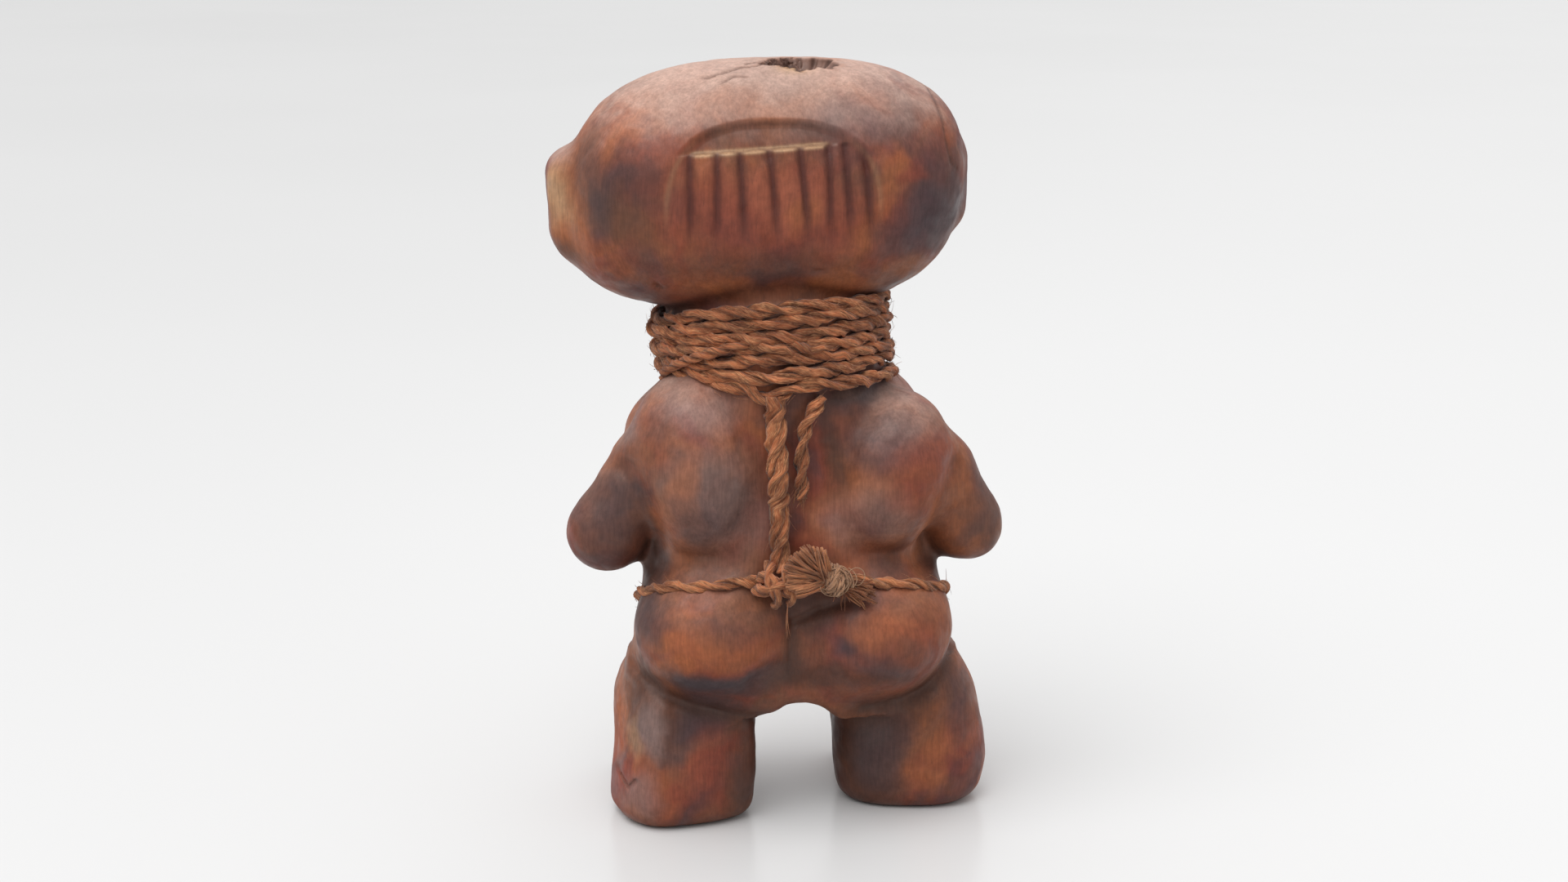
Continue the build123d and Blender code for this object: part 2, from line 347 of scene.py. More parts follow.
    def arch(self, x: Array, z: Array) -> Array:
        """1 inside the arch that frames the ribs on the back of the head, 0 outside."""
        return smoothstep(-self.arch_ring(x, z), -1.06, -0.94)

    def arch_ring(self, x: Array, z: Array) -> Array:
        """1 on the arch's outline, less inside it and more outside."""
        across = np.abs((x - self.arch_foot[0]) / self.arch_half[0])
        up = np.abs(np.maximum(z - self.arch_foot[1], 0) / self.arch_half[1])
        return (across**2.6 + up**2.6) ** (1 / 2.6)

    def under(self, x: Array, z: Array) -> Array:
        """How far below the ledge's line a point is."""
        return self.ledge_end[1] + (self.ledge_end[0] - x) * self.ledge_rise - z

    def under_ledge(self, x: Array, z: Array) -> Array:
        """1 under the ledge that the ribs hang from, 0 over it."""
        return smoothstep(self.under(x, z), -0.5, 0.5)

    def groove_lines(self, x: Array, z: Array) -> Array:
        """1 in the middle of each groove between the ribs."""
        lines = np.zeros_like(x)
        for top, bottom in self.grooves:
            at = bottom + (top - bottom) * np.clip((z - 203.0) / 20.0, -0.5, 1.2)
            lines = np.maximum(lines, np.exp(-(np.abs((x - at) / self.groove_width) ** 1.6)))
        return lines

    def panel_depth(self, x: Array, z: Array) -> Array:
        """How far the ribbed panel lies under the round of the head."""
        below = self.under_ledge(x, z)
        plain = smoothstep(-x, 6.0, 20.0)
        raised = 1.35 * below * (1 - 0.75 * plain) ** 2 + 0.75 * plain
        deep = smoothstep(z, 191.0, 211.0) * (1.9 - raised)
        lines = below * smoothstep(z, 192.0, 207.0) * 1.05 * self.groove_lines(x, z)
        return self.arch(x, z) * (deep + lines)

    def pit(self, p: Points) -> Array:
        """The torn pit in the crown and the bore under it."""
        x, y, z = p[0] + 7.5, p[1] - 4.5, p[2] - 251.0
        about = np.arctan2(y, x)
        ragged = 1.0 + 0.10 * np.sin(5.0 * about + 1.0) + 0.07 * np.sin(11.0 * about)
        ragged = ragged + 0.03 * np.sin(23.0 * about)
        bowl = (np.sqrt((x / 11.5) ** 2 + (y / 8.0) ** 2 + (z / 5.6) ** 2) / ragged - 1.0) * 5.2
        torn = 0.55 * np.sin(4.6 * (y + 0.25 * x)) * smoothstep(x, -2.0, 3.0)
        return join(bowl + torn, limb(p, (-9.0, 3.0, 256.0), (-9.0, 3.0, 235.5), 5.2, 3.1), 2.0)

    def face(self, p: Points, d: Array) -> Array:
        """The head with a calm, closed-eyed face on its front."""
        for side in (-1, 1):
            x = 4.0 + side * 19.0
            d = cut(d, ellipsoid(p, (x, -47.0, 210.0), (13.5, 7.0, 8.5)), 5.0)
            d = join(d, ellipsoid(p, (x, -38.6, 210.0), (10.0, 5.0, 4.6)), 1.6)
            lids = ((x - 9.5, -42.3, 209.8), (x, -43.9, 208.6), (x + 9.5, -42.3, 209.8))
            d = score(d, p, lids, 0.55)
            brow = ((4.0 + side * 5.0, -42.5, 218.5), (4.0 + side * 31.0, -37.5, 217.0))
            d = join(d, limb(p, *brow, 3.2, 2.2), 4.0)
        d = join(d, limb(p, (4.0, -41.0, 219.0), (4.0, -43.4, 202.5), 3.2, 4.6), 3.5)
        d = join(d, ellipsoid(p, (4.0, -41.6, 201.8), (7.2, 4.2, 3.2)), 2.5)
        d = join(d, ellipsoid(p, (4.0, -38.2, 190.5), (9.5, 4.6, 3.9)), 2.0)
        return score(d, p, ((-4.5, -41.4, 190.6), (4.0, -43.0, 190.2), (12.5, -41.4, 190.6)), 0.55)

    def arms(self, p: Points, d: Array) -> Array:
        """The body with its arms, hands on the belly."""
        d = join(d, limb(p, (43.0, 6.0, 117.5), (56.8, 5.0, 99.3), 14.6, 12.2), 7.0)
        d = join(d, limb(p, (-51.4, 6.0, 115.0), (-60.0, 5.0, 98.4), 14.0, 12.0), 7.0)
        d = join(d, ellipsoid(p, (-65.0, 4.0, 94.6), (8.6, 9.5, 8.4)), 4.0)
        for side, elbow, hand in ((1, 57.0, 29.0), (-1, -61.0, -33.0)):
            d = join(d, limb(p, (elbow, 4.0, 99.0), (hand, -34.0, 92.5), 12.0, 7.8), 5.0)
            for finger in range(4):
                start = (hand, -34.5, 97.0 - 3.3 * finger)
                tip = (hand - side * (15.0 - 1.2 * abs(finger - 1)), -41.5, 96.0 - 3.9 * finger)
                d = join(d, limb(p, start, tip, 3.2, 2.2), 0.9)
        return d

    def seat(self, p: Points, d: Array) -> Array:
        """The body with its belly, buttocks and navel."""
        d = join(d, ellipsoid(p, *self.belly), 8.0)
        for lobe in self.buttocks:
            d = join(d, ellipsoid(p, *lobe), 8.0)
        d = cut(d, limb(p, (1.5, 49.5, 90.0), (0.0, 48.5, 46.0), 10.5, 10.5), 6.0)
        d = cut(d, ellipsoid(p, (-2.0, -47.5, 79.0), (5.5, 4.0, 5.5)), 2.0)
        return join(d, ellipsoid(p, (-2.0, -43.0, 79.0), (3.0, 3.6, 3.0)), 1.0)

    def legs(self, p: Points) -> Array:
        """Both legs, their knees and feet."""
        left = column(p, self.left_leg, 2.7, 12.0)
        left = join(left, ellipsoid(p, (32.5, -17.0, 36.0), (21.0, 26.0, 19.0)), 8.0)
        left = join(left, ellipsoid(p, (13.5, -25.0, 20.0), (8.0, 8.0, 6.5)), 4.0)
        right = column(p, self.right_leg, 2.5, -10.0)
        right = join(right, ellipsoid(p, (-41.0, -20.0, 36.0), (21.0, 25.0, 19.0)), 8.0)
        both = np.minimum(left, right)
        for x in (32.0, -43.0):
            both = join(both, block(p, (x, -24.0, 5.0), (17.0, 23.0, 11.0), 7.0), 6.0)
            for toe in range(4):
                at = x - 10.2 + 6.8 * toe
                line = ((at, -49.0, 4.0), (at, -45.5, 15.0), (at * 0.96, -33.0, 17.5))
                both = score(both, p, line, 0.8, 1.2)
        return both

    def arch_gap(self, p: Points) -> Array:
        """The space between the legs, round over the top."""
        x, z = p[0] + 4.5, p[2] - 28.6
        return np.sqrt(x**2 + (0.94 * np.maximum(z, 0)) ** 2) - 13.3

    def neck(self, p: Points) -> Array:
        """The neck, which runs out inside the trunk."""
        x, y, z = turned(p, self.neck_centre, self.neck_turn)
        run_out = 1.0 + 0.012 * np.maximum(-z - 13.0, 0) + 0.02 * np.maximum(z - 9.0, 0)
        k = np.sqrt((x / self.neck_half[0]) ** 2 + (y / self.neck_half[1]) ** 2) * run_out
        return np.maximum((k - 1.0) * 31.0, np.maximum(z - 22.0, -45.0 - z))

    def details(self, p: Points, d: Array) -> Array:
        """The carving with its folds, ridges, nicks and drying cracks."""
        x, y, z = p
        behind = smoothstep(y, 2.0, 8.0)
        for line, width, depth in self.folds:
            d = d + behind * depth * np.exp(-((line_distance(x, z, line) / width) ** 2))
        near = smoothstep(y, -6.0, -2.0)
        d = d + near * 0.45 * np.exp(-((line_distance(x, z, self.ear_crack) / 0.6) ** 2))
        for line in self.crown_cracks:
            d = d + smoothstep(z, 238.0, 242.0) * 0.5 * np.exp(-((line_distance(x, y, line) / 0.5) ** 2))
        return d

    def surface(self, p: Points) -> Array:
        """Distance to the whole carving at points x, y, z."""
        x, y, z = p
        d = self.head(p)
        d = join(d, block(p, *self.left_ear, 8.5, (0, 3, 0)), 6.0)
        d = join(d, block(p, *self.right_ear, 6.5), 6.0)
        d = d + np.where(y > 10, self.panel_depth(x, z), 0.0)
        d = self.face(p, d)
        d = join(d, self.neck(p), 5.0)
        d = join(d, column(p, self.trunk, 2.2), 5.0)
        for form in self.shoulders:
            d = join(d, ellipsoid(p, *form), 8.0)
        for form in self.breasts:
            d = join(d, ellipsoid(p, *form), 4.0)
        d = join(d, ellipsoid(p, *self.blades[0]), 5.0)
        d = join(d, ellipsoid(p, *self.blades[1]), 4.0)
        d = self.arms(p, d)
        d = self.seat(p, d)
        d = join(d, self.legs(p), 3.5)
        d = cut(d, self.arch_gap(p), 4.0)
        d = cut(d, limb(p, (-3.0, 42.5, 158.0), (0.0, 40.5, 94.0), 13.5, 11.0), 6.0)
        d = cut(d, limb(p, (-16.0, 32.0, 150.0), (-13.4, 33.5, 106.0), 6.0, 3.2), 4.0)
        d = cut(d, ellipsoid(p, (-28.0, 29.5, 151.0), (17.0, 10.0, 5.5), (0, 10, 0)), 4.0)
        d = self.details(p, d)
        d = d + 0.28 * ripple(p, 17.0, 0.4) + 0.10 * ripple(p, 6.0, 2.2)
        d = cut(d, self.pit(p), 0.8)
        return -join(-d, z, 7.0)


# ------------------------------------------------------------------ meshes


class Stock:
    """Gathers corners, faces and named marks, and turns them into one mesh piece."""

    def __init__(self) -> None:
        """Starts empty."""
        self.points: list[Array] = []
        self.quads: list[Array] = []
        self.marks: dict[str, list[Array]] = {"lay": [], "tone": [], "gap": []}
        self.count = 0

    def tube(self, rings: Array, lay: Array, tone: float, gap: Array) -> None:
        """Adds a closed tube.

        Args:
            rings: corners, as rings along the tube, in millimetres.
            lay: for each corner, where it is in the fibre's own run.
            tone: how light this fibre is, 0 to 1.
            gap: for each corner, how deep it lies between its neighbours, 0 to 1, where its material paints
                shade.
        """
        n, m = rings.shape[:2]
        grid = self.count + np.arange(n * m).reshape(n, m)
        around = np.roll(grid, -1, axis=1)
        quads = np.stack([grid[:-1], around[:-1], around[1:], grid[1:]], -1).reshape(-1, 4)
        ends = np.array([self.count + n * m, self.count + n * m + 1])
        low = np.stack([grid[0], np.full(m, ends[0]), np.full(m, ends[0]), around[0]], -1)
        high = np.stack([grid[-1], around[-1], np.full(m, ends[1]), np.full(m, ends[1])], -1)
        self.quads += [quads, low[:, [1, 3, 0, 0]], high[:, [0, 1, 2, 2]]]
        self.points += [rings.reshape(-1, 3), rings[:1].mean(1), rings[-1:].mean(1)]
        self.marks["lay"] += [lay.reshape(-1, 3), lay[:1].mean(1), lay[-1:].mean(1)]
        self.marks["gap"] += [gap.reshape(-1), gap[0, :1], gap[-1, :1]]
        self.marks["tone"].append(np.full(n * m + 2, tone))
        self.count += n * m + 2

    def piece(self, name: str) -> bpy.types.Object:
        """Makes the piece, in metres."""
        quads = np.concatenate(self.quads)
        faces = [tuple(dict.fromkeys(q)) for q in quads.tolist()]
        made = mesh_piece(name, np.concatenate(self.points) * MM, faces)
        for mark, parts in self.marks.items():
            put_mark(made, mark, np.concatenate(parts))
        return made


def mesh_piece(name: str, points: Array, faces: list) -> bpy.types.Object:
    """A smooth mesh object in the scene.

    Args:
        name: the piece's name.
        points: corners, in metres.
        faces: corner numbers of each face.
    Returns:
        The object.
    """
    mesh = bpy.data.meshes.new(name)
    mesh.from_pydata(points.tolist(), [], faces)
    mesh.polygons.foreach_set("use_smooth", [True] * len(mesh.polygons))
    mesh.update()
    made = bpy.data.objects.new(name, mesh)
    bpy.context.scene.collection.objects.link(made)
    return made


def put_mark(piece: bpy.types.Object, name: str, values: Array) -> None:
    """Stores one number or vector for each corner of a piece, for its material to read."""
    kind, field_name = ("FLOAT_VECTOR", "vector") if values.ndim == 2 else ("FLOAT", "value")
    mark = piece.data.attributes.new(name, kind, "POINT")
    mark.data.foreach_set(field_name, np.asarray(values, np.float32).ravel())


def bow(t: Array) -> Array:
    """How far a bent fibre is from its chord: 0 at its ends, 1 at its middle."""
    return np.sin(3.1 * t)


def unit(v: Array) -> Array:
    """Vectors of length 1."""
    return v / np.maximum(np.linalg.norm(v, axis=-1, keepdims=True), 1e-9)


def run_along(line: Array) -> Array:
    """The distance along a line of each of its points."""
    return np.concatenate([[0], np.cumsum(np.linalg.norm(np.diff(line, axis=0), axis=1))])


def evened(values: Array, half: int, mode: str) -> Array:
    """Values averaged over their neighbours.

    Args:
        values: numbers, or the points of a line.
        half: how many neighbours on each side.
        mode: what lies past the ends, "edge" or "wrap".
    Returns:
        As many averaged values.
    """
    count = 2 * half + 1
    wide = np.pad(values, ((half, half),) + ((0, 0),) * (values.ndim - 1), mode=mode)
    return sum(wide[i : i + len(values)] for i in range(count)) / count


def tilted(v: Array, turn: Place) -> Array:
    """Vectors moved out of a frame that is turned about Y and then X, in degrees."""
    rx, ry = (math.radians(angle) for angle in turn[:2])
    x, y, z = v.T
    x, z = math.cos(ry) * x + math.sin(ry) * z, math.cos(ry) * z - math.sin(ry) * x
    y, z = math.cos(rx) * y - math.sin(rx) * z, math.cos(rx) * z + math.sin(rx) * y
    return np.stack([x, y, z], -1)


def stepped(points: Array, step: float) -> Array:
    """The same line with its points evenly step apart."""
    run = run_along(points)
    at = np.linspace(0, run[-1], max(4, int(run[-1] / step) + 1))
    return np.stack([np.interp(at, run, points[:, i]) for i in range(3)], -1)


def rounded(points: list[Place], step: float) -> Array:
    """A smooth line through a few points, its own points about step apart."""
    p = np.array(points, float)
    p = np.vstack([2 * p[0] - p[1], p, 2 * p[-1] - p[-2]])
    t = np.linspace(0, 1, 24, endpoint=False)[:, None]
    parts = []
    for a, b, c, d in zip(p, p[1:], p[2:], p[3:]):
        square, cube = 2 * a - 5 * b + 4 * c - d, 3 * b - a - 3 * c + d
        parts.append(0.5 * (2 * b + (c - a) * t + square * t**2 + cube * t**3))
    return stepped(np.vstack([*parts, p[-2:-1]]), step)


def frames(line: Array, out: Array | None = None) -> tuple[Array, Array]:
    """Two directions across a line at each of its points.

    Args:
        line: the points.
        out: a direction for the first of them at each point; without it they turn as little as they can.
    Returns:
        The two directions, at right angles.
    """
    along = unit(np.gradient(line, axis=0))
    if out is None:
        first = np.cross(along[0], (0.31, 0.52, 0.79))
        out = np.empty_like(line)
        for i, direction in enumerate(along):
            first = unit(first - direction * first.dot(direction))
            out[i] = first
    across = unit(out - along * (out * along).sum(1)[:, None])
    return across, np.cross(along, across)


@dataclass
class Twine:
    """A cord of twisted plies, each a bundle of flat fibres. Sizes are in millimetres."""

    diameter: float
    pitch: float = 18.0
    plies: int = 2
    bundles: int = 5
    step: float = 0.7
    sides: int = 16
    roughness: float = 0.22

    def uneven(self, run: Array, past: float, apart: float, middle: float, spread: float, rng: Rng) -> Array:
        """A value that wanders along the cord.

        Args:
            run: the distance along the cord of each of its points.
            past: how far the knots go past its end.
            apart: how far apart they are.
            middle: the value's mean.
            spread: how much it strays from its mean.
            rng: draws it.
        Returns:
            The value at each point.
        """
        knots = np.arange(0, run[-1] + past, apart)
        return np.interp(run, knots, middle + rng.normal(0, spread, len(knots)))

    def lay(self, stock: Stock, line: Array, rng: Rng, out: Array | None = None, flat: float = 1.0) -> None:
        """Adds the cord to stock.

        Args:
            stock: what it is added to.
            line: its centreline.
            rng: gives the unevenness of the fibre.
            out: the way out of the surface it lies on, at each point of the line.
            flat: how much thinner it is that way.
        """
        u, v = frames(line, out)
        run = run_along(line)
        turn = 2 * np.pi * run / self.pitch + self.uneven(run, 9, 4.0, 0.0, 0.35, rng)
        ply_r = self.diameter * (0.30 if self.plies == 2 else 0.27)
        off = self.diameter * 0.5 - ply_r
        phi = np.linspace(0, 2 * np.pi, self.sides, endpoint=False)
        for ply in range(self.plies):
            angle = turn + 2 * np.pi * ply / self.plies
            swell = self.uneven(run, 6, 2.6, 1.0, 0.09, rng)
            axis = u * (np.cos(angle) * off * flat)[:, None] + v * (np.sin(angle) * off)[:, None]
            own = phi[None, :] - 0.85 * turn[:, None]
            ridge = np.abs(np.sin(0.5 * self.bundles * own)) ** 0.7
            lumps = np.zeros_like(own)
            for wave in (2, 3, 5):
                amount = self.uneven(run, 7, 2.2 + wave * 0.5, 0.0, self.roughness / wave**0.5, rng)
                lumps += amount[:, None] * np.sin(wave * own + ply + wave)
            radius = ply_r * swell[:, None] * (0.86 + 0.20 * ridge + lumps)
            c, s = np.cos(phi)[None, :], np.sin(phi)[None, :]
            ring = u[:, None, :] * (c * radius * flat)[..., None]
            ring = ring + v[:, None, :] * (s * radius)[..., None]
            centre = line + axis
            inward = -(c * np.cos(angle)[:, None] + s * np.sin(angle)[:, None])
            along = np.repeat(run[:, None] / 9.0, self.sides, 1)
            lay = np.stack([np.cos(own) * 1.3, np.sin(own) * 1.3, along], -1)
            # gap: painted shade on each ply's inner side, between its bundles and, on a cord that lies on a
            # surface, on its side against it
            outward = (c * radius + (np.cos(angle) * off)[:, None]) / (0.5 * self.diameter)
            nested = 0.95 * smoothstep(-outward, -0.30, 0.40) * (out is not None)
            gap = np.clip(np.maximum(0.62 * inward + 0.50 * (1 - ridge), nested), 0, 1)
            stock.tube(centre[:, None, :] + ring, lay + 7.0 * ply, rng.uniform(0.3, 0.75), gap)


def hair(
    stock: Stock, line: Array, radius: float, tone: float, ribbon: float = 1.0, tip: float = 0.35
) -> None:
    """Adds one fibre.

    Args:
        stock: what it is added to.
        line: the fibre's own line, in millimetres.
        radius: half its thickness at the root.
        tone: how light it is, 0 to 1.
        ribbon: how many times wider than thick it is.
        tip: its thickness at the far end, as a share of the root's.
    """
    u, v = frames(line)
    share = np.linspace(1.0, tip, len(line))[:, None]
    sides = 6 if ribbon > 1 else 4
    phi = np.linspace(0, 2 * np.pi, sides, endpoint=False)[None, :]
    ring = u[:, None, :] * (np.cos(phi) * radius * share)[..., None]
    ring = ring + v[:, None, :] * (np.sin(phi) * radius * share * ribbon)[..., None]
    run = np.linspace(0, 1, len(line))[:, None] + 0 * phi
    lay = np.stack([np.cos(phi) + 0 * run, np.sin(phi) + 0 * run, run], -1)
    stock.tube(line[:, None, :] + ring, lay + 11.0 * tone, tone, 0 * run)


def strays(stock: Stock, line: Array, out: Array, count: int, reach: float, rng: Rng) -> None:
    """Adds loose fibres that stand off a cord.

    Args:
        stock: what they are added to.
        line: the cord's centreline.
        out: the way out of the surface at each point of the line.
        count: how many.
        reach: how far the cord's surface is from its centreline.
        rng: places them.
    """
    along = unit(np.gradient(line, axis=0))
    for _ in range(count):
        i = int(rng.integers(2, len(line) - 2))
        side = np.cross(along[i], out[i])
        way = rng.choice((-1.0, 1.0))
        swing = rng.normal(0, 0.8)
        start = line[i] + out[i] * reach * 0.8 + side * reach * np.clip(swing, -0.9, 0.9)
        heading = unit(way * along[i] + side * rng.normal(0, 0.35) + out[i] * rng.uniform(0.05, 0.4))
        bend = unit(side * rng.normal(0, 1) - out[i] * rng.uniform(0, 0.9) + along[i] * rng.normal(0, 0.3))
        length = rng.uniform(2.5, 7.5)
        t = np.linspace(0, 1, 7)[:, None]
        path = start + heading * length * t + bend * length * 0.22 * t**2
        hair(stock, path, rng.uniform(0.06, 0.13), rng.uniform(0.45, 1.0), 1.0, 0.3)


def nurbs_line(points: tuple[Place, ...]) -> Array:
    """Points, in metres, on the smooth spline that a cord's route gives."""
    curve = bpy.data.curves.new("route", "CURVE")
    curve.dimensions = "3D"
    curve.resolution_u = 24
    spline = curve.splines.new("NURBS")
    spline.points.add(len(points) - 1)
    for control, place in zip(spline.points, points):
        control.co = (*place, 1.0)
    spline.order_u = 3
    spline.use_endpoint_u = True
    holder = bpy.data.objects.new("route", curve)
    mesh = bpy.data.meshes.new_from_object(holder)
    line = np.array([v.co[:] for v in mesh.vertices])
    bpy.data.objects.remove(holder)
    bpy.data.curves.remove(curve)
    bpy.data.meshes.remove(mesh)
    return line


# ------------------------------------------------------------------ finishes


class Tone(Enum):
    """Colours of the stained wood, linear RGB."""

    BROWN = (0.235, 0.085, 0.040)
    RED = (0.270, 0.055, 0.030)
    RIB = (0.400, 0.115, 0.060)
    ORANGE = (0.420, 0.130, 0.045)
    # blue-black patina; also painted shade under the winding and under the left buttock
    BLUE_BLACK = (0.040, 0.034, 0.044)
    # also the painted shade in hollows, creases, under the buttocks and between the thighs
    UMBER = (0.070, 0.027, 0.016)
    # pale dust, with a painted sheen
    DUST_AND_SHEEN = (0.560, 0.370, 0.300)
    # ash-grey dust; on the shoulder tops, dust with a painted highlight
    ASH = (0.270, 0.190, 0.175)
    # worn wood; on the left ear, its pale face with a painted highlight
    TAN = (0.560, 0.330, 0.180)
    # painted shade in the grooves between the ribs
    MAROON = (0.075, 0.016, 0.012)


class Bench:
    """Lays out shader nodes in a node tree."""

    def __init__(self, tree: bpy.types.NodeTree) -> None:
        """Works on an empty tree."""
        self.tree = tree
        self.tree.nodes.clear()

    def node(self, kind: str, settings: dict | None = None, **sockets: object) -> bpy.types.Node:
        """Adds a node.

        Args:
            kind: its type, without the ShaderNode prefix.
            settings: its properties.
            sockets: values or output sockets for its inputs, by name with _ for a space, or as _0, _1.
        Returns:
            The node.
        """
        made = self.tree.nodes.new(kind if kind.startswith("NodeGroup") else "ShaderNode" + kind)
        for key, value in (settings or {}).items():
            setattr(made, key, value)
        for key, value in sockets.items():
            name = int(key[1:]) if key[0] == "_" else key.replace("_", " ")
            self.set(made.inputs[name], value)
        return made

    def set(self, socket: Socket, value: object) -> None:
        """Links a socket to another, or gives it a value."""
        if isinstance(value, bpy.types.NodeSocket):
            self.tree.links.new(value, socket)
        elif isinstance(value, Tone):
            socket.default_value = (*value.value, 1.0)
        elif socket.type == "RGBA" and len(value) == 3:
            socket.default_value = (*value, 1.0)
        else:
            socket.default_value = value

    def math(self, operation: str, a: object, b: object = 0.0, clamp: bool = False) -> Socket:
        """One sum on two numbers."""
        return self.node("Math", {"operation": operation, "use_clamp": clamp}, _0=a, _1=b).outputs[0]

    def vector(self, operation: str, a: object, b: object = (0, 0, 0)) -> Socket:
        """One sum on two vectors."""
        made = self.node("VectorMath", {"operation": operation}, _0=a, _1=b)
        return made.outputs["Value" if operation in ("LENGTH", "DOT_PRODUCT", "DISTANCE") else "Vector"]

    def scaled(self, v: object, factor: object) -> Socket:
        """A vector made longer or shorter."""
        made = self.node("VectorMath", {"operation": "SCALE"}, _0=v)
        self.set(made.inputs["Scale"], factor)
        return made.outputs[0]

    def noise(self, place: object, scale: float, detail: float = 3.0, distortion: float = 0.0) -> Socket:
        """Cloudy noise from 0 to 1."""
        made = self.node("TexNoise", None, Vector=place, Scale=scale, Detail=detail, Distortion=distortion)
        return made.outputs["Fac"]

    def ramp(
        self, value: object, low: float, high: float, to_low: float = 0.0, to_high: float = 1.0
    ) -> Socket:
        """A number moved smoothly from one range to another."""
        made = self.node("MapRange", {"interpolation_type": "SMOOTHSTEP"}, Value=value)
        for name, amount in (("From Min", low), ("From Max", high), ("To Min", to_low), ("To Max", to_high)):
            made.inputs[name].default_value = amount
        return made.outputs["Result"]

    def mix(self, share: object, a: object, b: object, blend: str = "MIX") -> Socket:
        """One colour over another."""
        made = self.node("Mix", {"data_type": "RGBA", "blend_type": blend})
        self.set(made.inputs[0], share)
        self.set(made.inputs[6], a)
        self.set(made.inputs[7], b)
        return made.outputs[2]

    def shaded(self, colour: object, strength: object) -> Socket:
        """A colour made darker or lighter by a number."""
        grey = self.node("CombineColor", None, Red=strength, Green=strength, Blue=strength).outputs[0]
        return self.mix(1.0, colour, grey, "MULTIPLY")

    def mark(self, name: str, output: str = "Fac") -> Socket:
        """A number or vector stored on the mesh."""
        return self.node("Attribute", {"attribute_name": name}).outputs[output]

    def use(self, group: bpy.types.NodeTree, output: str, **sockets: object) -> Socket:
        """One output of a group placed with its own values."""
        return self.node("Group", {"node_tree": group}, **sockets).outputs[output]


def new_group(
    name: str, inputs: dict[str, object], outputs: dict[str, str]
) -> tuple[Bench, bpy.types.Node, bpy.types.Node]:
    """A shader node group with named sockets.

    Args:
        name: the group's name.
        inputs: each input's default value; a number, or three for a vector.
        outputs: each output's socket type.
    Returns:
        A bench for the group, its input node and its output node.
    """
    tree = bpy.data.node_groups.new(name, "ShaderNodeTree")
    bench = Bench(tree)
    for key, value in inputs.items():
        kind = "NodeSocketVector" if isinstance(value, tuple) else "NodeSocketFloat"
        tree.interface.new_socket(key, in_out="INPUT", socket_type=kind).default_value = value
    for key, kind in outputs.items():
        tree.interface.new_socket(key, in_out="OUTPUT", socket_type=kind)
    return bench, bench.node("NodeGroupInput"), bench.node("NodeGroupOutput")


def grain_group() -> bpy.types.NodeTree:
    """Fine streaks and open pores that run along Z in stretched space."""
    bench, given, result = new_group(
        "wood grain", {"Place": (0.0, 0.0, 0.0), "Fineness": 1.0, "Stretch": 0.1},
        {"Streak": "NodeSocketFloat", "Pores": "NodeSocketFloat"})
    squash = bench.node("CombineXYZ", None, X=1.0, Y=1.0, Z=given.outputs["Stretch"]).outputs[0]
    place = bench.vector("MULTIPLY", given.outputs["Place"], squash)
    scaled = bench.scaled(place, given.outputs["Fineness"])
    bench.set(result.inputs["Streak"], bench.noise(scaled, 1.1, 5.0, 0.4))
    pores = bench.noise(scaled, 3.4, 2.0, 0.2)
    bench.set(result.inputs["Pores"], bench.ramp(pores, 0.62, 0.74))
    return bench.tree


def blotch_group() -> bpy.types.NodeTree:
    """Soft-edged cloudy blotches."""
    bench, given, result = new_group(
        "blotches", {"Place": (0.0, 0.0, 0.0), "Size": 20.0, "Threshold": 0.5, "Softness": 0.12},
        {"Mask": "NodeSocketFloat"})
    scaled = bench.scaled(given.outputs["Place"], bench.math("DIVIDE", 1.0, given.outputs["Size"]))
    cloud = bench.noise(scaled, 1.0, 2.6, 0.6)
    low = bench.math("SUBTRACT", given.outputs["Threshold"], given.outputs["Softness"])
    high = bench.math("ADD", given.outputs["Threshold"], given.outputs["Softness"])
    made = bench.node("MapRange", {"interpolation_type": "SMOOTHSTEP"}, Value=cloud)
    bench.set(made.inputs["From Min"], low)
    bench.set(made.inputs["From Max"], high)
    bench.set(result.inputs["Mask"], made.outputs["Result"])
    return bench.tree


def patch_group() -> bpy.types.NodeTree:
    """One soft patch at a place, strongest in its middle."""
    bench, given, result = new_group(
        "patch",
        {"Place": (0.0, 0.0, 0.0), "Centre": (0.0, 0.0, 0.0), "Radii": (10.0, 10.0, 10.0), "Strength": 1.0},
        {"Mask": "NodeSocketFloat"})
    away = bench.vector("SUBTRACT", given.outputs["Place"], given.outputs["Centre"])
    away = bench.vector("LENGTH", bench.vector("DIVIDE", away, given.outputs["Radii"]))
    mask = bench.ramp(away, 1.15, 0.25)
    bench.set(result.inputs["Mask"], bench.math("MULTIPLY", mask, given.outputs["Strength"], clamp=True))
    return bench.tree


def streak_group() -> bpy.types.NodeTree:
    """Fibre streaks that follow the lay stored on a cord's mesh."""
    bench, given, result = new_group(
        "fibre streaks", {"Lay": (0.0, 0.0, 0.0), "Fineness": 1.0},
        {"Fine": "NodeSocketFloat", "Broad": "NodeSocketFloat"})
    scaled = bench.scaled(given.outputs["Lay"], given.outputs["Fineness"])
    bench.set(result.inputs["Fine"], bench.noise(scaled, 5.5, 4.0, 0.3))
    bench.set(result.inputs["Broad"], bench.noise(scaled, 1.4, 2.0, 0.2))
    return bench.tree


@dataclass(frozen=True)
class Effects:
    """The node groups that the finishes share."""

    grain: bpy.types.NodeTree
    blotch: bpy.types.NodeTree
    patch: bpy.types.NodeTree
    streak: bpy.types.NodeTree


@dataclass(frozen=True)
class Patch:
    """A stained, worn or dusty place on the carving, or painted shade or light, in millimetres."""

    tone: Tone
    centre: Place
    radii: Place
    strength: float = 0.8


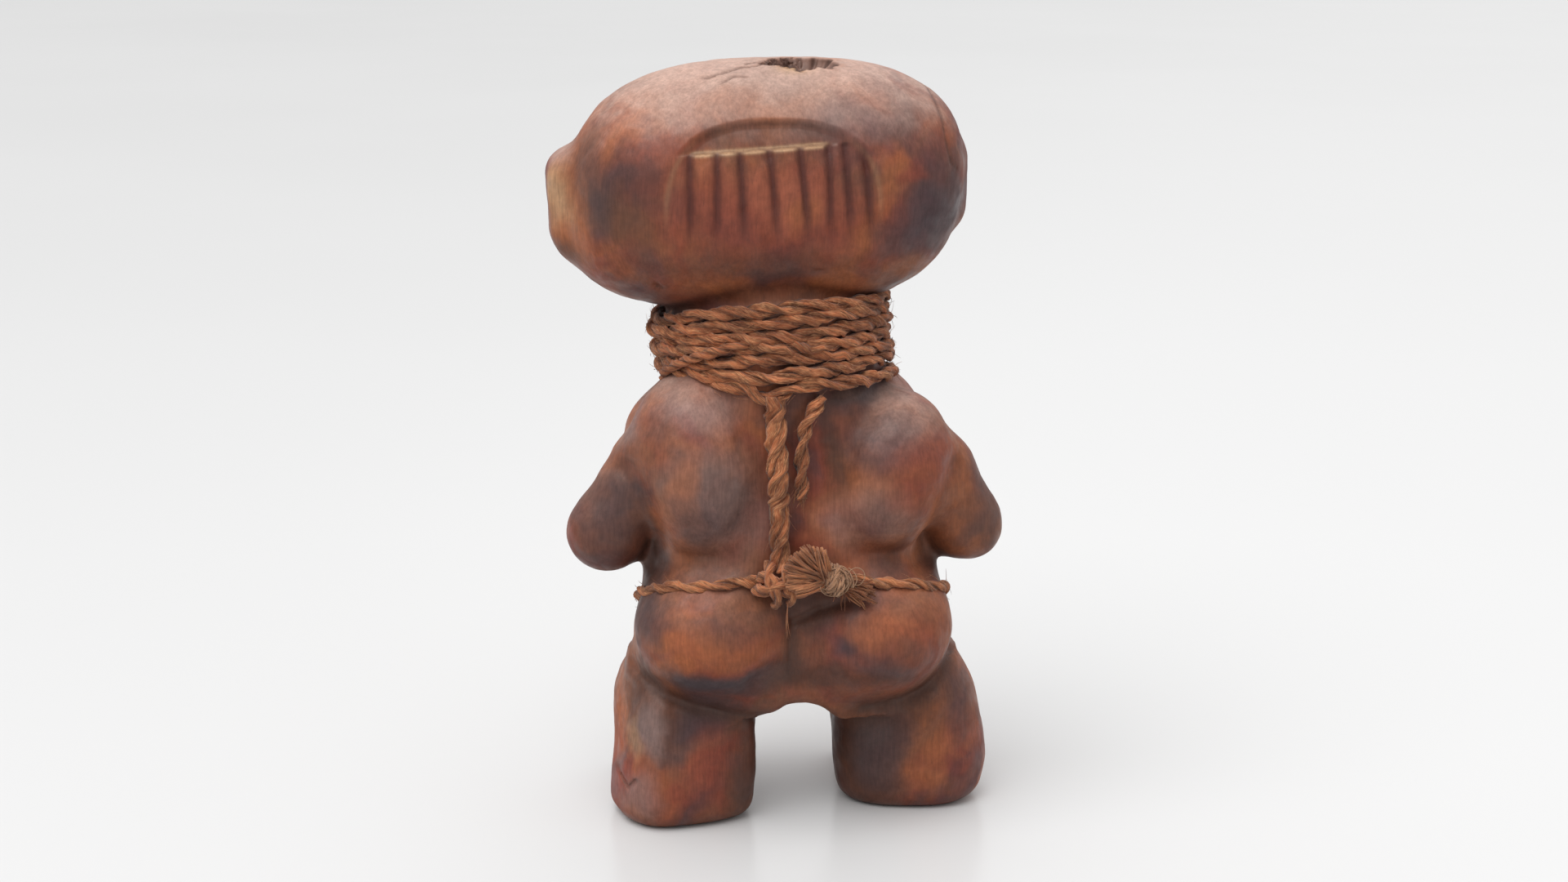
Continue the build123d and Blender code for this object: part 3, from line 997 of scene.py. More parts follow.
@dataclass(frozen=True)
class StainedWood:
    """Dark stained wood: red-brown, blue-black patina, dust and painted sheen, wear, painted shade."""

    effects: Effects
    patches: tuple[Patch, ...]
    # how much dust and painted sheen goes on faces that look up, and the share of it low on the doll
    dust: float = 0.78
    low_dust: float = 0.12
    sway: float = 20.0
    grain_sway: float = 0.16
    roughness: tuple[float, float] = (0.42, 0.66)
    name: str = "stained_wood"

    def stain(self, b: Bench, place: Socket) -> Socket:
        """Cloudy reds, oranges and blue-blacks, then the patches, some of them painted shade or light."""
        blotch = self.effects.blotch
        red = b.use(blotch, "Mask", Place=place, Size=34.0, Threshold=0.5, Softness=0.18)
        colour = b.mix(red, Tone.BROWN, Tone.RED)
        shifted = b.vector("ADD", place, (40.0, 9.0, 3.0))
        orange = b.use(blotch, "Mask", Place=shifted, Size=24.0, Threshold=0.57, Softness=0.16)
        colour = b.mix(b.math("MULTIPLY", orange, 0.75), colour, Tone.ORANGE)
        shifted = b.vector("ADD", place, (7.0, 60.0, 21.0))
        dark = b.use(blotch, "Mask", Place=shifted, Size=30.0, Threshold=0.57, Softness=0.15)
        colour = b.mix(b.math("MULTIPLY", dark, 0.72), colour, Tone.BLUE_BLACK)
        for patch in self.patches:
            sizes = {"Centre": patch.centre, "Radii": patch.radii, "Strength": patch.strength}
            mask = b.use(self.effects.patch, "Mask", Place=place, **sizes)
            colour = b.mix(mask, colour, patch.tone)
        return colour

    def dust_and_sheen(self, b: Bench, place: Socket, swayed: Socket) -> Socket:
        """Dust with a painted sheen on faces that look up, more of it higher on the doll."""
        up = b.node("SeparateXYZ", None, Vector=b.node("NewGeometry").outputs["Normal"]).outputs["Z"]
        drifts = b.ramp(b.noise(swayed, 0.09, 4.0, 0.5), 0.3, 0.65, 0.35, 1.0)
        dust_and_sheen = b.math("MULTIPLY", b.ramp(up, 0.25, 0.95), drifts)
        tall = b.node("SeparateXYZ", None, Vector=place).outputs["Z"]
        share = b.ramp(tall, 95.0, 175.0, self.low_dust * self.dust, self.dust)
        return b.math("MULTIPLY", dust_and_sheen, share)

    def material(self) -> bpy.types.Material:
        """Builds the material."""
        made = bpy.data.materials.new(self.name)
        made.use_nodes = True
        b = Bench(made.node_tree)
        place = b.scaled(b.node("TexCoord").outputs["Object"], 1.0 / MM)
        sway = b.node("TexNoise", None, Vector=place, Scale=0.045, Detail=3.0).outputs["Color"]
        sway = b.scaled(b.vector("SUBTRACT", sway, (0.5, 0.5, 0.5)), self.sway)
        swayed = b.vector("ADD", place, sway)
        along = b.vector("ADD", place, b.scaled(sway, self.grain_sway))
        grain = b.node("Group", {"node_tree": self.effects.grain}, Place=along, Fineness=1.15, Stretch=0.075)
        streak, pores = grain.outputs["Streak"], grain.outputs["Pores"]
        colour = self.stain(b, swayed)
        dust_and_sheen = self.dust_and_sheen(b, place, swayed)
        # dust with a painted sheen on the faces that look up
        colour = b.mix(dust_and_sheen, colour, Tone.DUST_AND_SHEEN)
        colour = b.mix(b.math("MULTIPLY", b.mark("raised"), 0.55, clamp=True), colour, Tone.ORANGE)
        colour = b.mix(b.mark("worn"), colour, Tone.TAN)
        # painted shade in hollows, creases and the pit's bore
        colour = b.mix(b.mark("deep"), colour, Tone.UMBER)
        # painted shade in the grooves between the ribs
        colour = b.mix(b.mark("groove"), colour, Tone.MAROON)
        colour = b.shaded(colour, b.ramp(streak, 0.28, 0.72, 0.98, 1.25))
        colour = b.shaded(colour, b.ramp(b.noise(place, 0.42, 5.0, 0.2), 0.3, 0.7, 0.90, 1.10))
        colour = b.mix(b.math("MULTIPLY", pores, 0.30), colour, Tone.UMBER)
        rough = b.ramp(b.noise(swayed, 0.16, 4.0), 0.3, 0.7, *self.roughness)
        rough = b.math("ADD", rough, b.math("MULTIPLY", dust_and_sheen, 0.18), clamp=True)
        tooth = b.math("MULTIPLY", b.noise(place, 1.7, 4.0), 0.45)
        height = b.math("ADD", b.math("MULTIPLY", streak, 0.55), tooth)
        height = b.math("SUBTRACT", height, b.math("MULTIPLY", pores, 0.5))
        bump = b.node("Bump", None, Strength=0.32, Distance=0.00022, Height=height)
        shader = b.node("BsdfPrincipled", None, Base_Color=colour, Roughness=rough, Normal=bump.outputs[0])
        shader.inputs["Specular IOR Level"].default_value = 0.42
        shader.inputs["Coat Weight"].default_value = 0.06
        shader.inputs["Coat Roughness"].default_value = 0.35
        b.node("OutputMaterial", None, Surface=shader.outputs[0])
        return made


@dataclass(frozen=True)
class Fibre:
    """Dry plant fibre: painted shade between the strands, pale along their backs."""

    effects: Effects
    name: str
    dark: Place
    middle: Place
    light: Place
    glow: float = 0.25

    def material(self) -> bpy.types.Material:
        """Builds the material."""
        made = bpy.data.materials.new(self.name)
        made.use_nodes = True
        b = Bench(made.node_tree)
        lay = b.mark("lay", "Vector")
        streaks = b.node("Group", {"node_tree": self.effects.streak}, Lay=lay, Fineness=1.0)
        fine, broad = streaks.outputs["Fine"], streaks.outputs["Broad"]
        colour = b.mix(b.ramp(broad, 0.32, 0.68), self.dark, self.middle)
        lightness = b.math("ADD", b.ramp(fine, 0.42, 0.72), b.math("MULTIPLY", b.mark("tone"), 0.45))
        colour = b.mix(b.math("MULTIPLY", lightness, 0.62, clamp=True), colour, self.light)
        place = b.node("TexCoord").outputs["Object"]
        soil = b.use(self.effects.blotch, "Mask", Place=place, Size=0.011, Threshold=0.52, Softness=0.12)
        colour = b.mix(b.math("MULTIPLY", soil, 0.45), colour, self.dark)
        shadow = tuple(0.22 * c for c in self.dark)
        # painted shade where the fibre lies between its neighbours
        colour = b.mix(b.math("MULTIPLY", b.mark("gap"), 0.85, clamp=True), colour, shadow)
        height = b.math("ADD", fine, b.math("MULTIPLY", broad, 0.6))
        bump = b.node("Bump", None, Strength=0.75, Distance=0.0004, Height=height)
        rough = b.ramp(fine, 0.3, 0.7, 0.85, 0.62)
        shader = b.node("BsdfPrincipled", None, Base_Color=colour, Roughness=rough, Normal=bump.outputs[0])
        shader.inputs["Specular IOR Level"].default_value = 0.3
        shader.inputs["Sheen Weight"].default_value = self.glow
        shader.inputs["Sheen Roughness"].default_value = 0.45
        b.node("OutputMaterial", None, Surface=shader.outputs[0])
        return made


@dataclass(frozen=True)
class PaleFloor:
    """A smooth pale table top that gives back a faint reflection."""

    colour: Place = (0.80, 0.80, 0.80)
    bounce: Place = (0.30, 0.29, 0.28)
    roughness: tuple[float, float] = (0.22, 0.235)
    name: str = "pale_floor"

    def material(self) -> bpy.types.Material:
        """Builds the material."""
        made = bpy.data.materials.new(self.name)
        made.use_nodes = True
        b = Bench(made.node_tree)
        rough = b.ramp(b.noise(b.node("TexCoord").outputs["Object"], 1.5), 0.3, 0.7, *self.roughness)
        bounced = b.node("LightPath").outputs["Is Diffuse Ray"]
        colour = b.mix(bounced, self.colour, self.bounce)
        shader = b.node("BsdfPrincipled", None, Base_Color=colour, Roughness=rough)
        shader.inputs["Specular IOR Level"].default_value = 0.28
        b.node("OutputMaterial", None, Surface=shader.outputs[0])
        return made


# ------------------------------------------------------------------ the doll's pieces


@dataclass
class Carving:
    """The doll's body as one mesh, cut from one block."""

    figure: Figure
    voxel: float = 1.05
    low: Place = (-80.0, -54.0, -4.0)
    high: Place = (80.0, 54.0, 256.0)
    hollow_reaches: tuple = ((1.2, 0.5), (4.5, 0.7), (11.0, 0.6))
    ridge_reaches: tuple = ((1.6, 0.8), (5.0, 0.5))
    fine_zones: tuple = (
        ((5.5, 34.0, 213.0), (37.0, 16.0, 25.0)), ((-7.0, 4.0, 250.0), (16.0, 13.0, 9.0)),
        ((4.0, -44.0, 204.0), (34.0, 10.0, 20.0)), ((-1.0, -42.0, 90.0), (22.0, 9.0, 14.0)),
        ((-51.0, -1.0, 229.0), (8.0, 5.0, 15.0)), ((18.0, 3.0, 249.0), (13.0, 6.0, 6.0)),
        ((52.0, 16.0, 18.0), (10.0, 9.0, 9.0)), ((38.0, 24.0, 47.0), (20.0, 14.0, 10.0)),
        ((-12.0, 44.0, 72.0), (10.0, 10.0, 12.0)), ((41.0, 29.0, 183.0), (4.0, 6.0, 4.0)),
    )

    def refine(self, points: Array, quads: Array) -> tuple[Array, list, Array]:
        """Halves the faces where the carving has fine cuts.

        Args:
            points, quads: the even mesh.
        Returns:
            The new corners, faces and edges.
        """
        near = np.zeros(len(points), bool)
        for centre, half in self.fine_zones:
            near |= (np.abs(points - np.array(centre)) < np.array(half)).all(1)
        mesh = bmesh.new()
        corners = [mesh.verts.new(p) for p in points.tolist()]
        for quad in quads.tolist():
            mesh.faces.new([corners[i] for i in quad])
        mesh.verts.index_update()
        chosen = [e for e in mesh.edges if near[e.verts[0].index] and near[e.verts[1].index]]
        bmesh.ops.subdivide_edges(mesh, edges=chosen, cuts=1, use_grid_fill=True)
        mesh.verts.index_update()
        points = np.array([v.co[:] for v in mesh.verts])
        faces = [[v.index for v in f.verts] for f in mesh.faces]
        edges = np.array([[v.index for v in e.verts] for e in mesh.edges])
        mesh.free()
        return points, faces, edges

    def marks(self, points: Array) -> dict[str, Array]:
        """Where the surface is hollow, raised, grooved, torn or worn, 0 to 1 at each corner; hollows and
        grooves get painted shade.
        """
        form = self.figure.surface
        out = unit(slope(form, points))
        # painted shade: the less room there is in front of a point, the darker it is
        deep = np.zeros(len(points))
        for reach, weight in self.hollow_reaches:
            free = form(tuple((points + out * reach).T)) / reach
            deep += weight * np.clip(1.0 - free, 0, 1)
        raised = np.zeros(len(points))
        for reach, weight in self.ridge_reaches:
            raised += weight * np.clip(1.0 + form(tuple((points - out * reach).T)) / reach - 0.06, 0, 1)
        x, y, z = points.T
        back = y > 10
        fig = self.figure
        arch, below = fig.arch(x, z) * back, fig.under_ledge(x, z)
        # painted shade in the grooves between the ribs
        groove = 0.85 * arch * below * fig.groove_lines(x, z) ** 0.7 * smoothstep(z, 192.0, 210.0)
        over = arch * (1 - below) * smoothstep(z, 205.0, 222.0)
        ledge = arch * np.exp(-((np.maximum(np.abs(fig.under(x, z)) - 0.35, 0) / 0.6) ** 2))
        ledge = ledge * smoothstep(x, -13.0, -9.0) * smoothstep(-x, -33.0, -29.0)
        rim = back * np.exp(-(((fig.arch_ring(x, z) - 1.0) / 0.025) ** 2))
        rim = rim * smoothstep(z, 200.0, 212.0) * smoothstep(-z, -232.0, -222.0)
        tear = np.exp(-(((x + 3.5) / 5.5) ** 2 + ((y - 10.5) / 4.0) ** 2)) * smoothstep(z, 243.0, 248.0)
        crack = np.exp(-((line_distance(x, z, fig.ear_crack) / 0.6) ** 2)) * smoothstep(y, -6.0, -2.0)
        for line in fig.crown_cracks:
            fine = np.exp(-((line_distance(x, y, line) / 0.6) ** 2))
            crack = np.maximum(crack, fine * smoothstep(z, 238.0, 242.0))
        # painted shade along the creases under the buttocks, the fold at the waist and the cleft
        for line, _, _ in fig.folds[:4]:
            shade = 1.1 * np.exp(-((line_distance(x, z, line) / 3.4) ** 2)) * back
            deep = np.maximum(deep, shade)
        deep = np.maximum(deep, 0.8 * crack)
        # painted shade inside the pit's bore
        bore = smoothstep(-fig.pit(tuple(points.T)), -0.4, 1.2) * smoothstep(-z, -247.5, -245.0)
        # deep: painted shade in hollows, creases and the bore, with the cracks and the band over the ledge
        # darker too
        return {
            "deep": np.clip(deep * 0.75 + 0.22 * over + bore, 0, 0.92),
            "raised": np.clip(raised - 0.15, 0, 1),
            "groove": np.clip(groove, 0, 1),
            "worn": np.clip(ledge + 0.20 * rim + tear, 0, 0.95),
        }

    def build(self) -> bpy.types.Object:
        """Makes the mesh, in metres, with its marks."""
        form = self.figure.surface
        points, quads = surface_net(form, self.low, self.high, self.voxel)
        edges = np.concatenate([quads[:, [0, 1]], quads[:, [1, 2]], quads[:, [2, 3]], quads[:, [3, 0]]])
        points = settle(form, points, edges, 3)
        points, faces, edges = self.refine(points, quads)
        points = settle(form, points, edges, 1)
        made = mesh_piece("carving", points * MM, faces)
        for name, values in self.marks(points).items():
            put_mark(made, name, values)
        return made

    def dress(self, piece: bpy.types.Object, finish: StainedWood) -> None:
        """Stains it and puts it in the frame."""
        piece.data.materials.append(finish.material())
        enter(piece, "stained_wood", "carved_figure")


def enter(piece: bpy.types.Object, slot: str, *nodes: str) -> None:
    """Puts a finished piece into the frame.

    Args:
        piece: the piece.
        slot: not used.
        nodes: the CAD nodes it stands for.
    """
    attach(piece, "root")
    if nodes:
        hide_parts(*nodes)
    log.info("%s: %d corners, %d faces", piece.name, len(piece.data.vertices), len(piece.data.polygons))


@dataclass
class NeckBinding:
    """One long cord wound round the neck in level rows."""

    figure: Figure
    rows: int = 7
    rise: float = 4.05
    twine: Twine = field(default_factory=lambda: Twine(4.7, 24.0, bundles=6, sides=20, roughness=0.27))
    stray_count: int = 520

    def rows_line(self, angle: Array, level: Array) -> tuple[Array, Array]:
        """The centreline and the way out of the neck, in the neck's own frame.

        Args:
            angle: the way round the neck of each point.
            level: the row that it is in, counted from the lowest.
        Returns:
            The points, and the way out at each.
        """
        left, right = (np.angle(np.exp(1j * (angle - side))) for side in (0.15, 3.0))
        squeeze = 1.0 - 0.22 * np.exp(-((left / 0.75) ** 2))
        height = (level - 0.5 * (self.rows - 1)) * self.rise * squeeze
        lift = np.where(squeeze < 0.93, (1 - squeeze) * 7.0 * (level % 2), 0.0)
        height += 0.45 * np.sin(2.3 * angle + 1.9 * level) + 0.3 * np.sin(5.1 * angle + 0.7 * level)
        a, b = (h + 0.42 * self.twine.diameter for h in self.figure.neck_half)
        lift = lift + 0.35 * np.sin(3.3 * angle + 2.7 * level)
        x, y = (a + lift) * np.cos(angle), (b + lift) * np.sin(angle)
        out = unit(np.stack([x / a**2, y / b**2, 0 * x], -1))
        dip = np.exp(-(((x - 6.5) / 6.0) ** 2)) * (y > 0)
        height -= dip * (4.6 * (level < 0.9) + 1.6 * ((level > 0.9) & (level < 1.9)))
        flare = 0.04 * np.maximum(height - 10.0, 0) ** 1.5
        flare -= 2.6 * np.clip(np.cos(angle), 0, 1) * smoothstep(-height, -4.0, 14.0)
        right = np.exp(-((right / 0.6) ** 2))
        flare += right * 1.2 * smoothstep(-level, -2.2, 0.0)
        height -= right * 1.6 * smoothstep(-level, -1.2, 0.0)
        return np.stack([x + flare * np.cos(angle), y + flare * np.sin(angle), height], -1), out

    def path(self) -> tuple[Array, Array]:
        """The cord's centreline and the way out of the neck at each of its points."""
        turns = np.linspace(0, self.rows - 0.02, int(self.rows * 360))
        row, share = np.floor(turns), turns % 1.0
        angle = 2 * np.pi * share - 0.5 * np.pi
        local, out = self.rows_line(angle, row + smoothstep(share, 0.86, 1.0))
        line = evened(self.place(local) + np.array(self.figure.neck_centre), 4, "edge")
        run = run_along(line)
        even = stepped(line, self.twine.step)
        at = np.linspace(0, run[-1], len(even))
        out = np.stack([np.interp(at, run, self.place(out)[:, i]) for i in range(3)], -1)
        return even, unit(out)

    def place(self, v: Array) -> Array:
        """Turns vectors from the neck's own frame to the doll's."""
        return tilted(v, self.figure.neck_turn)

    def crossing(self, stock: Stock, rng: Rng) -> None:
        """A short lap of cord that runs over the rows on the left."""
        angle = np.radians(np.linspace(8, 74, 60))
        height = np.linspace(-9.5, 2.5, 60) + 1.2 * np.sin(np.linspace(0, 3.1, 60))
        a, b = (h + 0.95 * self.twine.diameter for h in self.figure.neck_half)
        sink = 2.4 * np.abs(np.linspace(-1, 1, 60)) ** 3
        local = np.stack([(a - sink) * np.cos(angle), (b - sink) * np.sin(angle), height], -1)
        line = stepped(self.place(local) + np.array(self.figure.neck_centre), self.twine.step)
        Twine(3.4, 11.0).lay(stock, line, rng)

    def build(self) -> bpy.types.Object:
        """Makes the winding as one mesh."""
        rng = np.random.default_rng(41)
        stock = Stock()
        line, out = self.path()
        log.info("neck cord: %.2f m wound on", run_along(line)[-1] * MM)
        self.twine.lay(stock, line, rng, out, flat=0.92)
        self.crossing(stock, rng)
        strays(stock, line, out, self.stray_count, 2.2, rng)
        return stock.piece("neck_winding")

    def dress(self, piece: bpy.types.Object, finish: bpy.types.Material) -> None:
        """Finishes it and puts it in the frame."""
        piece.data.materials.append(finish)
        enter(piece, "plant_fibre", "neck_cord")


@dataclass
class SpineTail:
    """A free tail of the neck cord that hangs down the spine. Its route is in metres."""

    name: str
    node: str
    route: tuple[Place, ...]
    diameter: float
    far_end: str
    twine: Twine
    frayed: int
    seed: int

    def build(self, finish: bpy.types.Material) -> bpy.types.Object:
        rng = np.random.default_rng(self.seed)
        stock = Stock()
        route = nurbs_line(self.route)
        line = stepped(route / MM, self.twine.step)
        out = np.tile((0.1, 1.0, 0.1), (len(line), 1))
        self.twine.lay(stock, line, rng, out, flat=0.86)
        loose = Stock()
        strays(loose, line, unit(out), 26, self.diameter / MM * 0.42, rng)
        for _ in range(self.frayed):
            start = line[-6] + rng.normal(0, 0.9, 3) * (1, 0.5, 1)
            t = np.linspace(0, 1, 7)[:, None]
            path = start + t * np.array([rng.normal(0, 1.6), rng.uniform(-0.3, 0.9), -rng.uniform(3.5, 7.5)])
            path = path + np.array([rng.normal(0, 0.9), 0.0, 0.0]) * bow(t)
            hair(loose, path, rng.uniform(0.12, 0.24), rng.uniform(0.3, 0.9), 1.8, 0.4)
        fray = loose.piece(self.name + "_fray")
        fray.data.materials.append(finish)
        enter(fray, "plant_fibre")
        piece = stock.piece(self.name)
        piece.data.materials.append(finish)
        enter(piece, "plant_fibre", self.node)
        return piece


@dataclass
class WaistCord:
    """One turn of cord that lies on the body at the waist."""

    figure: Figure
    centre: Place = (-5.3, 1.0, 73.5)
    turn: Place = (23.0, -1.8, 0.0)
    twine: Twine = field(default_factory=lambda: Twine(4.2, 19.0))

    def path(self) -> tuple[Array, Array]:
        """The cord's centreline on the carving, and the way out of it."""
        angle = np.radians(np.linspace(-268, 92, 500))
        way = tilted(np.stack([np.cos(angle), np.sin(angle), 0 * angle], -1), self.turn)
        near, far = np.full(len(angle), 12.0), np.full(len(angle), 75.0)
        sunk = self.twine.diameter * (0.34 - 0.42 * np.abs(np.cos(angle)) ** 3)
        for _ in range(22):
            middle = 0.5 * (near + far)
            free = self.figure.surface(tuple((np.array(self.centre) + way * middle[:, None]).T)) > sunk
            near, far = np.where(free, near, middle), np.where(free, middle, far)
        reach = evened(0.5 * (near + far), 7, "wrap")
        line = np.array(self.centre) + way * reach[:, None]
        line[:, 2] += 0.5 * np.sin(7.0 * angle) + 0.35 * np.sin(13.0 * angle + 1.0)
        even = stepped(line, self.twine.step)
        return even, unit(slope(self.figure.surface, even))

    def build(self) -> bpy.types.Object:
        """Makes the cord as one mesh."""
        rng = np.random.default_rng(7)
        stock = Stock()
        line, out = self.path()
        log.info("waist cord: %.2f m in its turn", run_along(line)[-1] * MM)
        self.twine.lay(stock, line, rng, out)
        strays(stock, line, out, 70, 2.0, rng)
        return stock.piece("waist_turn")

    def dress(self, piece: bpy.types.Object, finish: bpy.types.Material) -> None:
        """Finishes it and puts it in the frame."""
        piece.data.materials.append(finish)
        enter(piece, "plant_fibre", "waist_cord")


@dataclass
class WaistKnot:
    """The waist cord's knot, its whipping, and the two frayed ends. Sizes are in millimetres."""

    knot: Place = (3.5, 34.5, 87.0)
    binding: Place = (-12.6, 37.6, 89.3)
    fan_fibres: int = 120
    brush_fibres: int = 110

    def lump(self) -> bpy.types.Object:
        """The flat, tightly drawn knot."""
        rng = np.random.default_rng(19)
        stock = Stock()
        x, y, z = self.knot
        wraps = (
            [(8, -3, -2), (5, 2.2, -1), (-1, 3.6, 2.2), (-6.5, 1.8, 3.2), (-11, -0.5, 2.5)],
            [(7, -2.5, 2), (3.5, 1.8, 3.0), (-1, 3.0, -1.8), (-6, 2.4, -2.2), (-11, -0.5, 0.8)],
            [(3.6, -2.6, 7), (4.2, 2.2, 2.6), (2.4, 3.2, -2.5), (1.5, -1.8, -7)],
            [(-1.6, -2.6, 6), (-1.2, 2.8, 3.4), (-2.6, 3.4, -2.5), (-3.0, -1.8, -6)],
        )
        for wrap in wraps:
            points = [(x + dx, y + dy, z + dz) for dx, dy, dz in wrap]
            Twine(4.6, 21.0, bundles=5, roughness=0.09).lay(stock, rounded(points, 0.7), rng, flat=0.85)
        t = np.linspace(0, 1, 9)[:, None]
        for _ in range(3):
            start = np.array([x - 1.8 + rng.normal(0, 0.8), y + 2.5, z - 4.5])
            fall = np.array([rng.normal(0.2, 0.6), 4.6 + rng.normal(0, 0.4), -rng.uniform(8.5, 12.0)])
            hair(stock, start + t * fall + bow(t) * np.array([0.7, 1.2, 0.0]), 0.13, 0.8)
        return stock.piece("waist_lump")

    def whipping(self) -> bpy.types.Object:
        """Pale twine wound and tangled round the root of the fan."""
        rng = np.random.default_rng(23)
        stock = Stock()
        axis = unit(np.array([-1.0, 0.05, -0.30]))
        u = unit(np.cross(axis, (0.0, 1.0, 0.2)))
        v = np.cross(axis, u)
        turns = np.linspace(0, 9.5, 500)
        angle = 2 * np.pi * turns
        reach = 4.1 + 0.45 * np.sin(0.9 * angle) + 0.25 * np.sin(2.3 * angle)
        along = -2.8 + 5.6 * turns / 9.5 + 0.9 * np.sin(1.13 * angle + 1.0)
        line = np.array(self.binding) + axis * along[:, None]
        line = line + u * (np.cos(angle) * reach)[:, None] + v * (np.sin(angle) * reach)[:, None]
        Twine(1.45, 5.5, bundles=4, step=0.35, sides=8).lay(stock, stepped(line, 0.35), rng)
        for _ in range(64):
            centre = np.array(self.binding) + rng.normal(0, 1.1, 3) * (1.2, 0.5, 1.0) + (0, 0.6, 0)
            spin, size = rng.uniform(0, 6.28), rng.uniform(2.4, 5.0)
            sweep = np.linspace(spin, spin + rng.uniform(1.8, 4.5), 14)
            lean = rng.normal(0, 0.5)
            forward = 0.45 + lean * np.sin(sweep) * 0.5 + 0.3 * np.cos(2 * sweep)
            arc = np.stack([np.cos(sweep), forward, np.sin(sweep)], -1)
            path = centre + arc * size * (0.95, 0.8, 0.85)
            hair(stock, path, rng.uniform(0.11, 0.24), rng.uniform(0.4, 1.0), 1.5, 0.6)
        sweep = np.linspace(-1.0, 5.4, 34)
        curl = np.stack([-7.0 - 2.8 * np.cos(sweep), 2.2 + 0.5 * sweep / 5.4, 1.2 + 2.9 * np.sin(sweep)], -1)
        hair(stock, np.array(self.binding) + curl, 0.17, 0.9, 1.0, 0.6)
        return stock.piece("whipping")

    def fan(self) -> bpy.types.Object:
        """The cord's first end, opened flat and cut straight."""
        rng = np.random.default_rng(31)
        stock = Stock()
        root = np.array(self.binding) + (2.0, 0.6, -0.2)
        t = np.linspace(0, 1, 9)[:, None]
        for i in range(self.fan_fibres):
            share = (i + rng.uniform(-0.6, 0.6)) / self.fan_fibres
            angle = math.radians(84.0 - 102.0 * share + rng.normal(0, 2.5))
            length = (11.0 + 4.5 * math.sin(math.pi * share)) * rng.uniform(0.90, 1.03)
            layer = rng.uniform(0.0, 1.0)
            start = root + np.array([rng.uniform(-0.8, 0.6), rng.uniform(-1.2, 1.4), rng.uniform(-1.8, 1.8)])
            end = root + np.array([math.cos(angle) * length, 0.6 + 4.0 * layer, math.sin(angle) * length])
            path = start + (end - start) * t
            bulge = np.array([rng.normal(0, 0.4), 1.1 + layer * 1.2, rng.normal(0, 0.4)])
            path = path + bow(t) * bulge
            hair(stock, path, rng.uniform(0.18, 0.30), rng.uniform(0.45, 1.0), rng.uniform(1.6, 2.8), 0.8)
        return stock.piece("fan_end")

    def brush(self) -> bpy.types.Object:
        """The cord's second end, opened into a short brush."""
        rng = np.random.default_rng(37)
        stock = Stock()
        root = np.array(self.binding) + (-2.2, 0.0, -1.2)
        t = np.linspace(0, 1, 8)[:, None]
        for _ in range(self.brush_fibres):
            start = root + rng.normal(0, 1.0, 3) * (0.8, 0.8, 1.2)
            length = rng.uniform(8.5, 12.5)
            heading = unit(np.array([-1.0, rng.normal(-0.04, 0.13), rng.normal(-0.50, 0.24)]))
            path = start + heading * length * t + bow(t) * rng.normal(0, 0.35, 3)
            hair(stock, path, rng.uniform(0.16, 0.28), rng.uniform(0.15, 0.85), rng.uniform(1.3, 2.2), 0.7)
        for _ in range(26):
            start = root + rng.normal(0, 1.0, 3)
            heading = unit(np.array([rng.normal(-0.2, 0.5), rng.uniform(0.0, 0.5), -1.0]))
            path = start + heading * rng.uniform(4.0, 7.5) * t
            hair(stock, path, rng.uniform(0.12, 0.2), rng.uniform(0.4, 0.9), 1.4, 0.5)
        return stock.piece("brush_end")

    def build(self, fibre: bpy.types.Material, pale: bpy.types.Material) -> None:
        """Makes, finishes and places all four pieces."""
        rows = (
            (self.lump(), fibre, "plant_fibre", "waist_knot"),
            (self.whipping(), pale, "pale_twine", "knot_binding"),
            (self.fan(), fibre, "plant_fibre", "tassel_left"),
            (self.brush(), fibre, "plant_fibre", "tassel_right"),
        )
        for piece, finish, slot, node in rows:
            piece.data.materials.append(finish)
            enter(piece, slot, node)


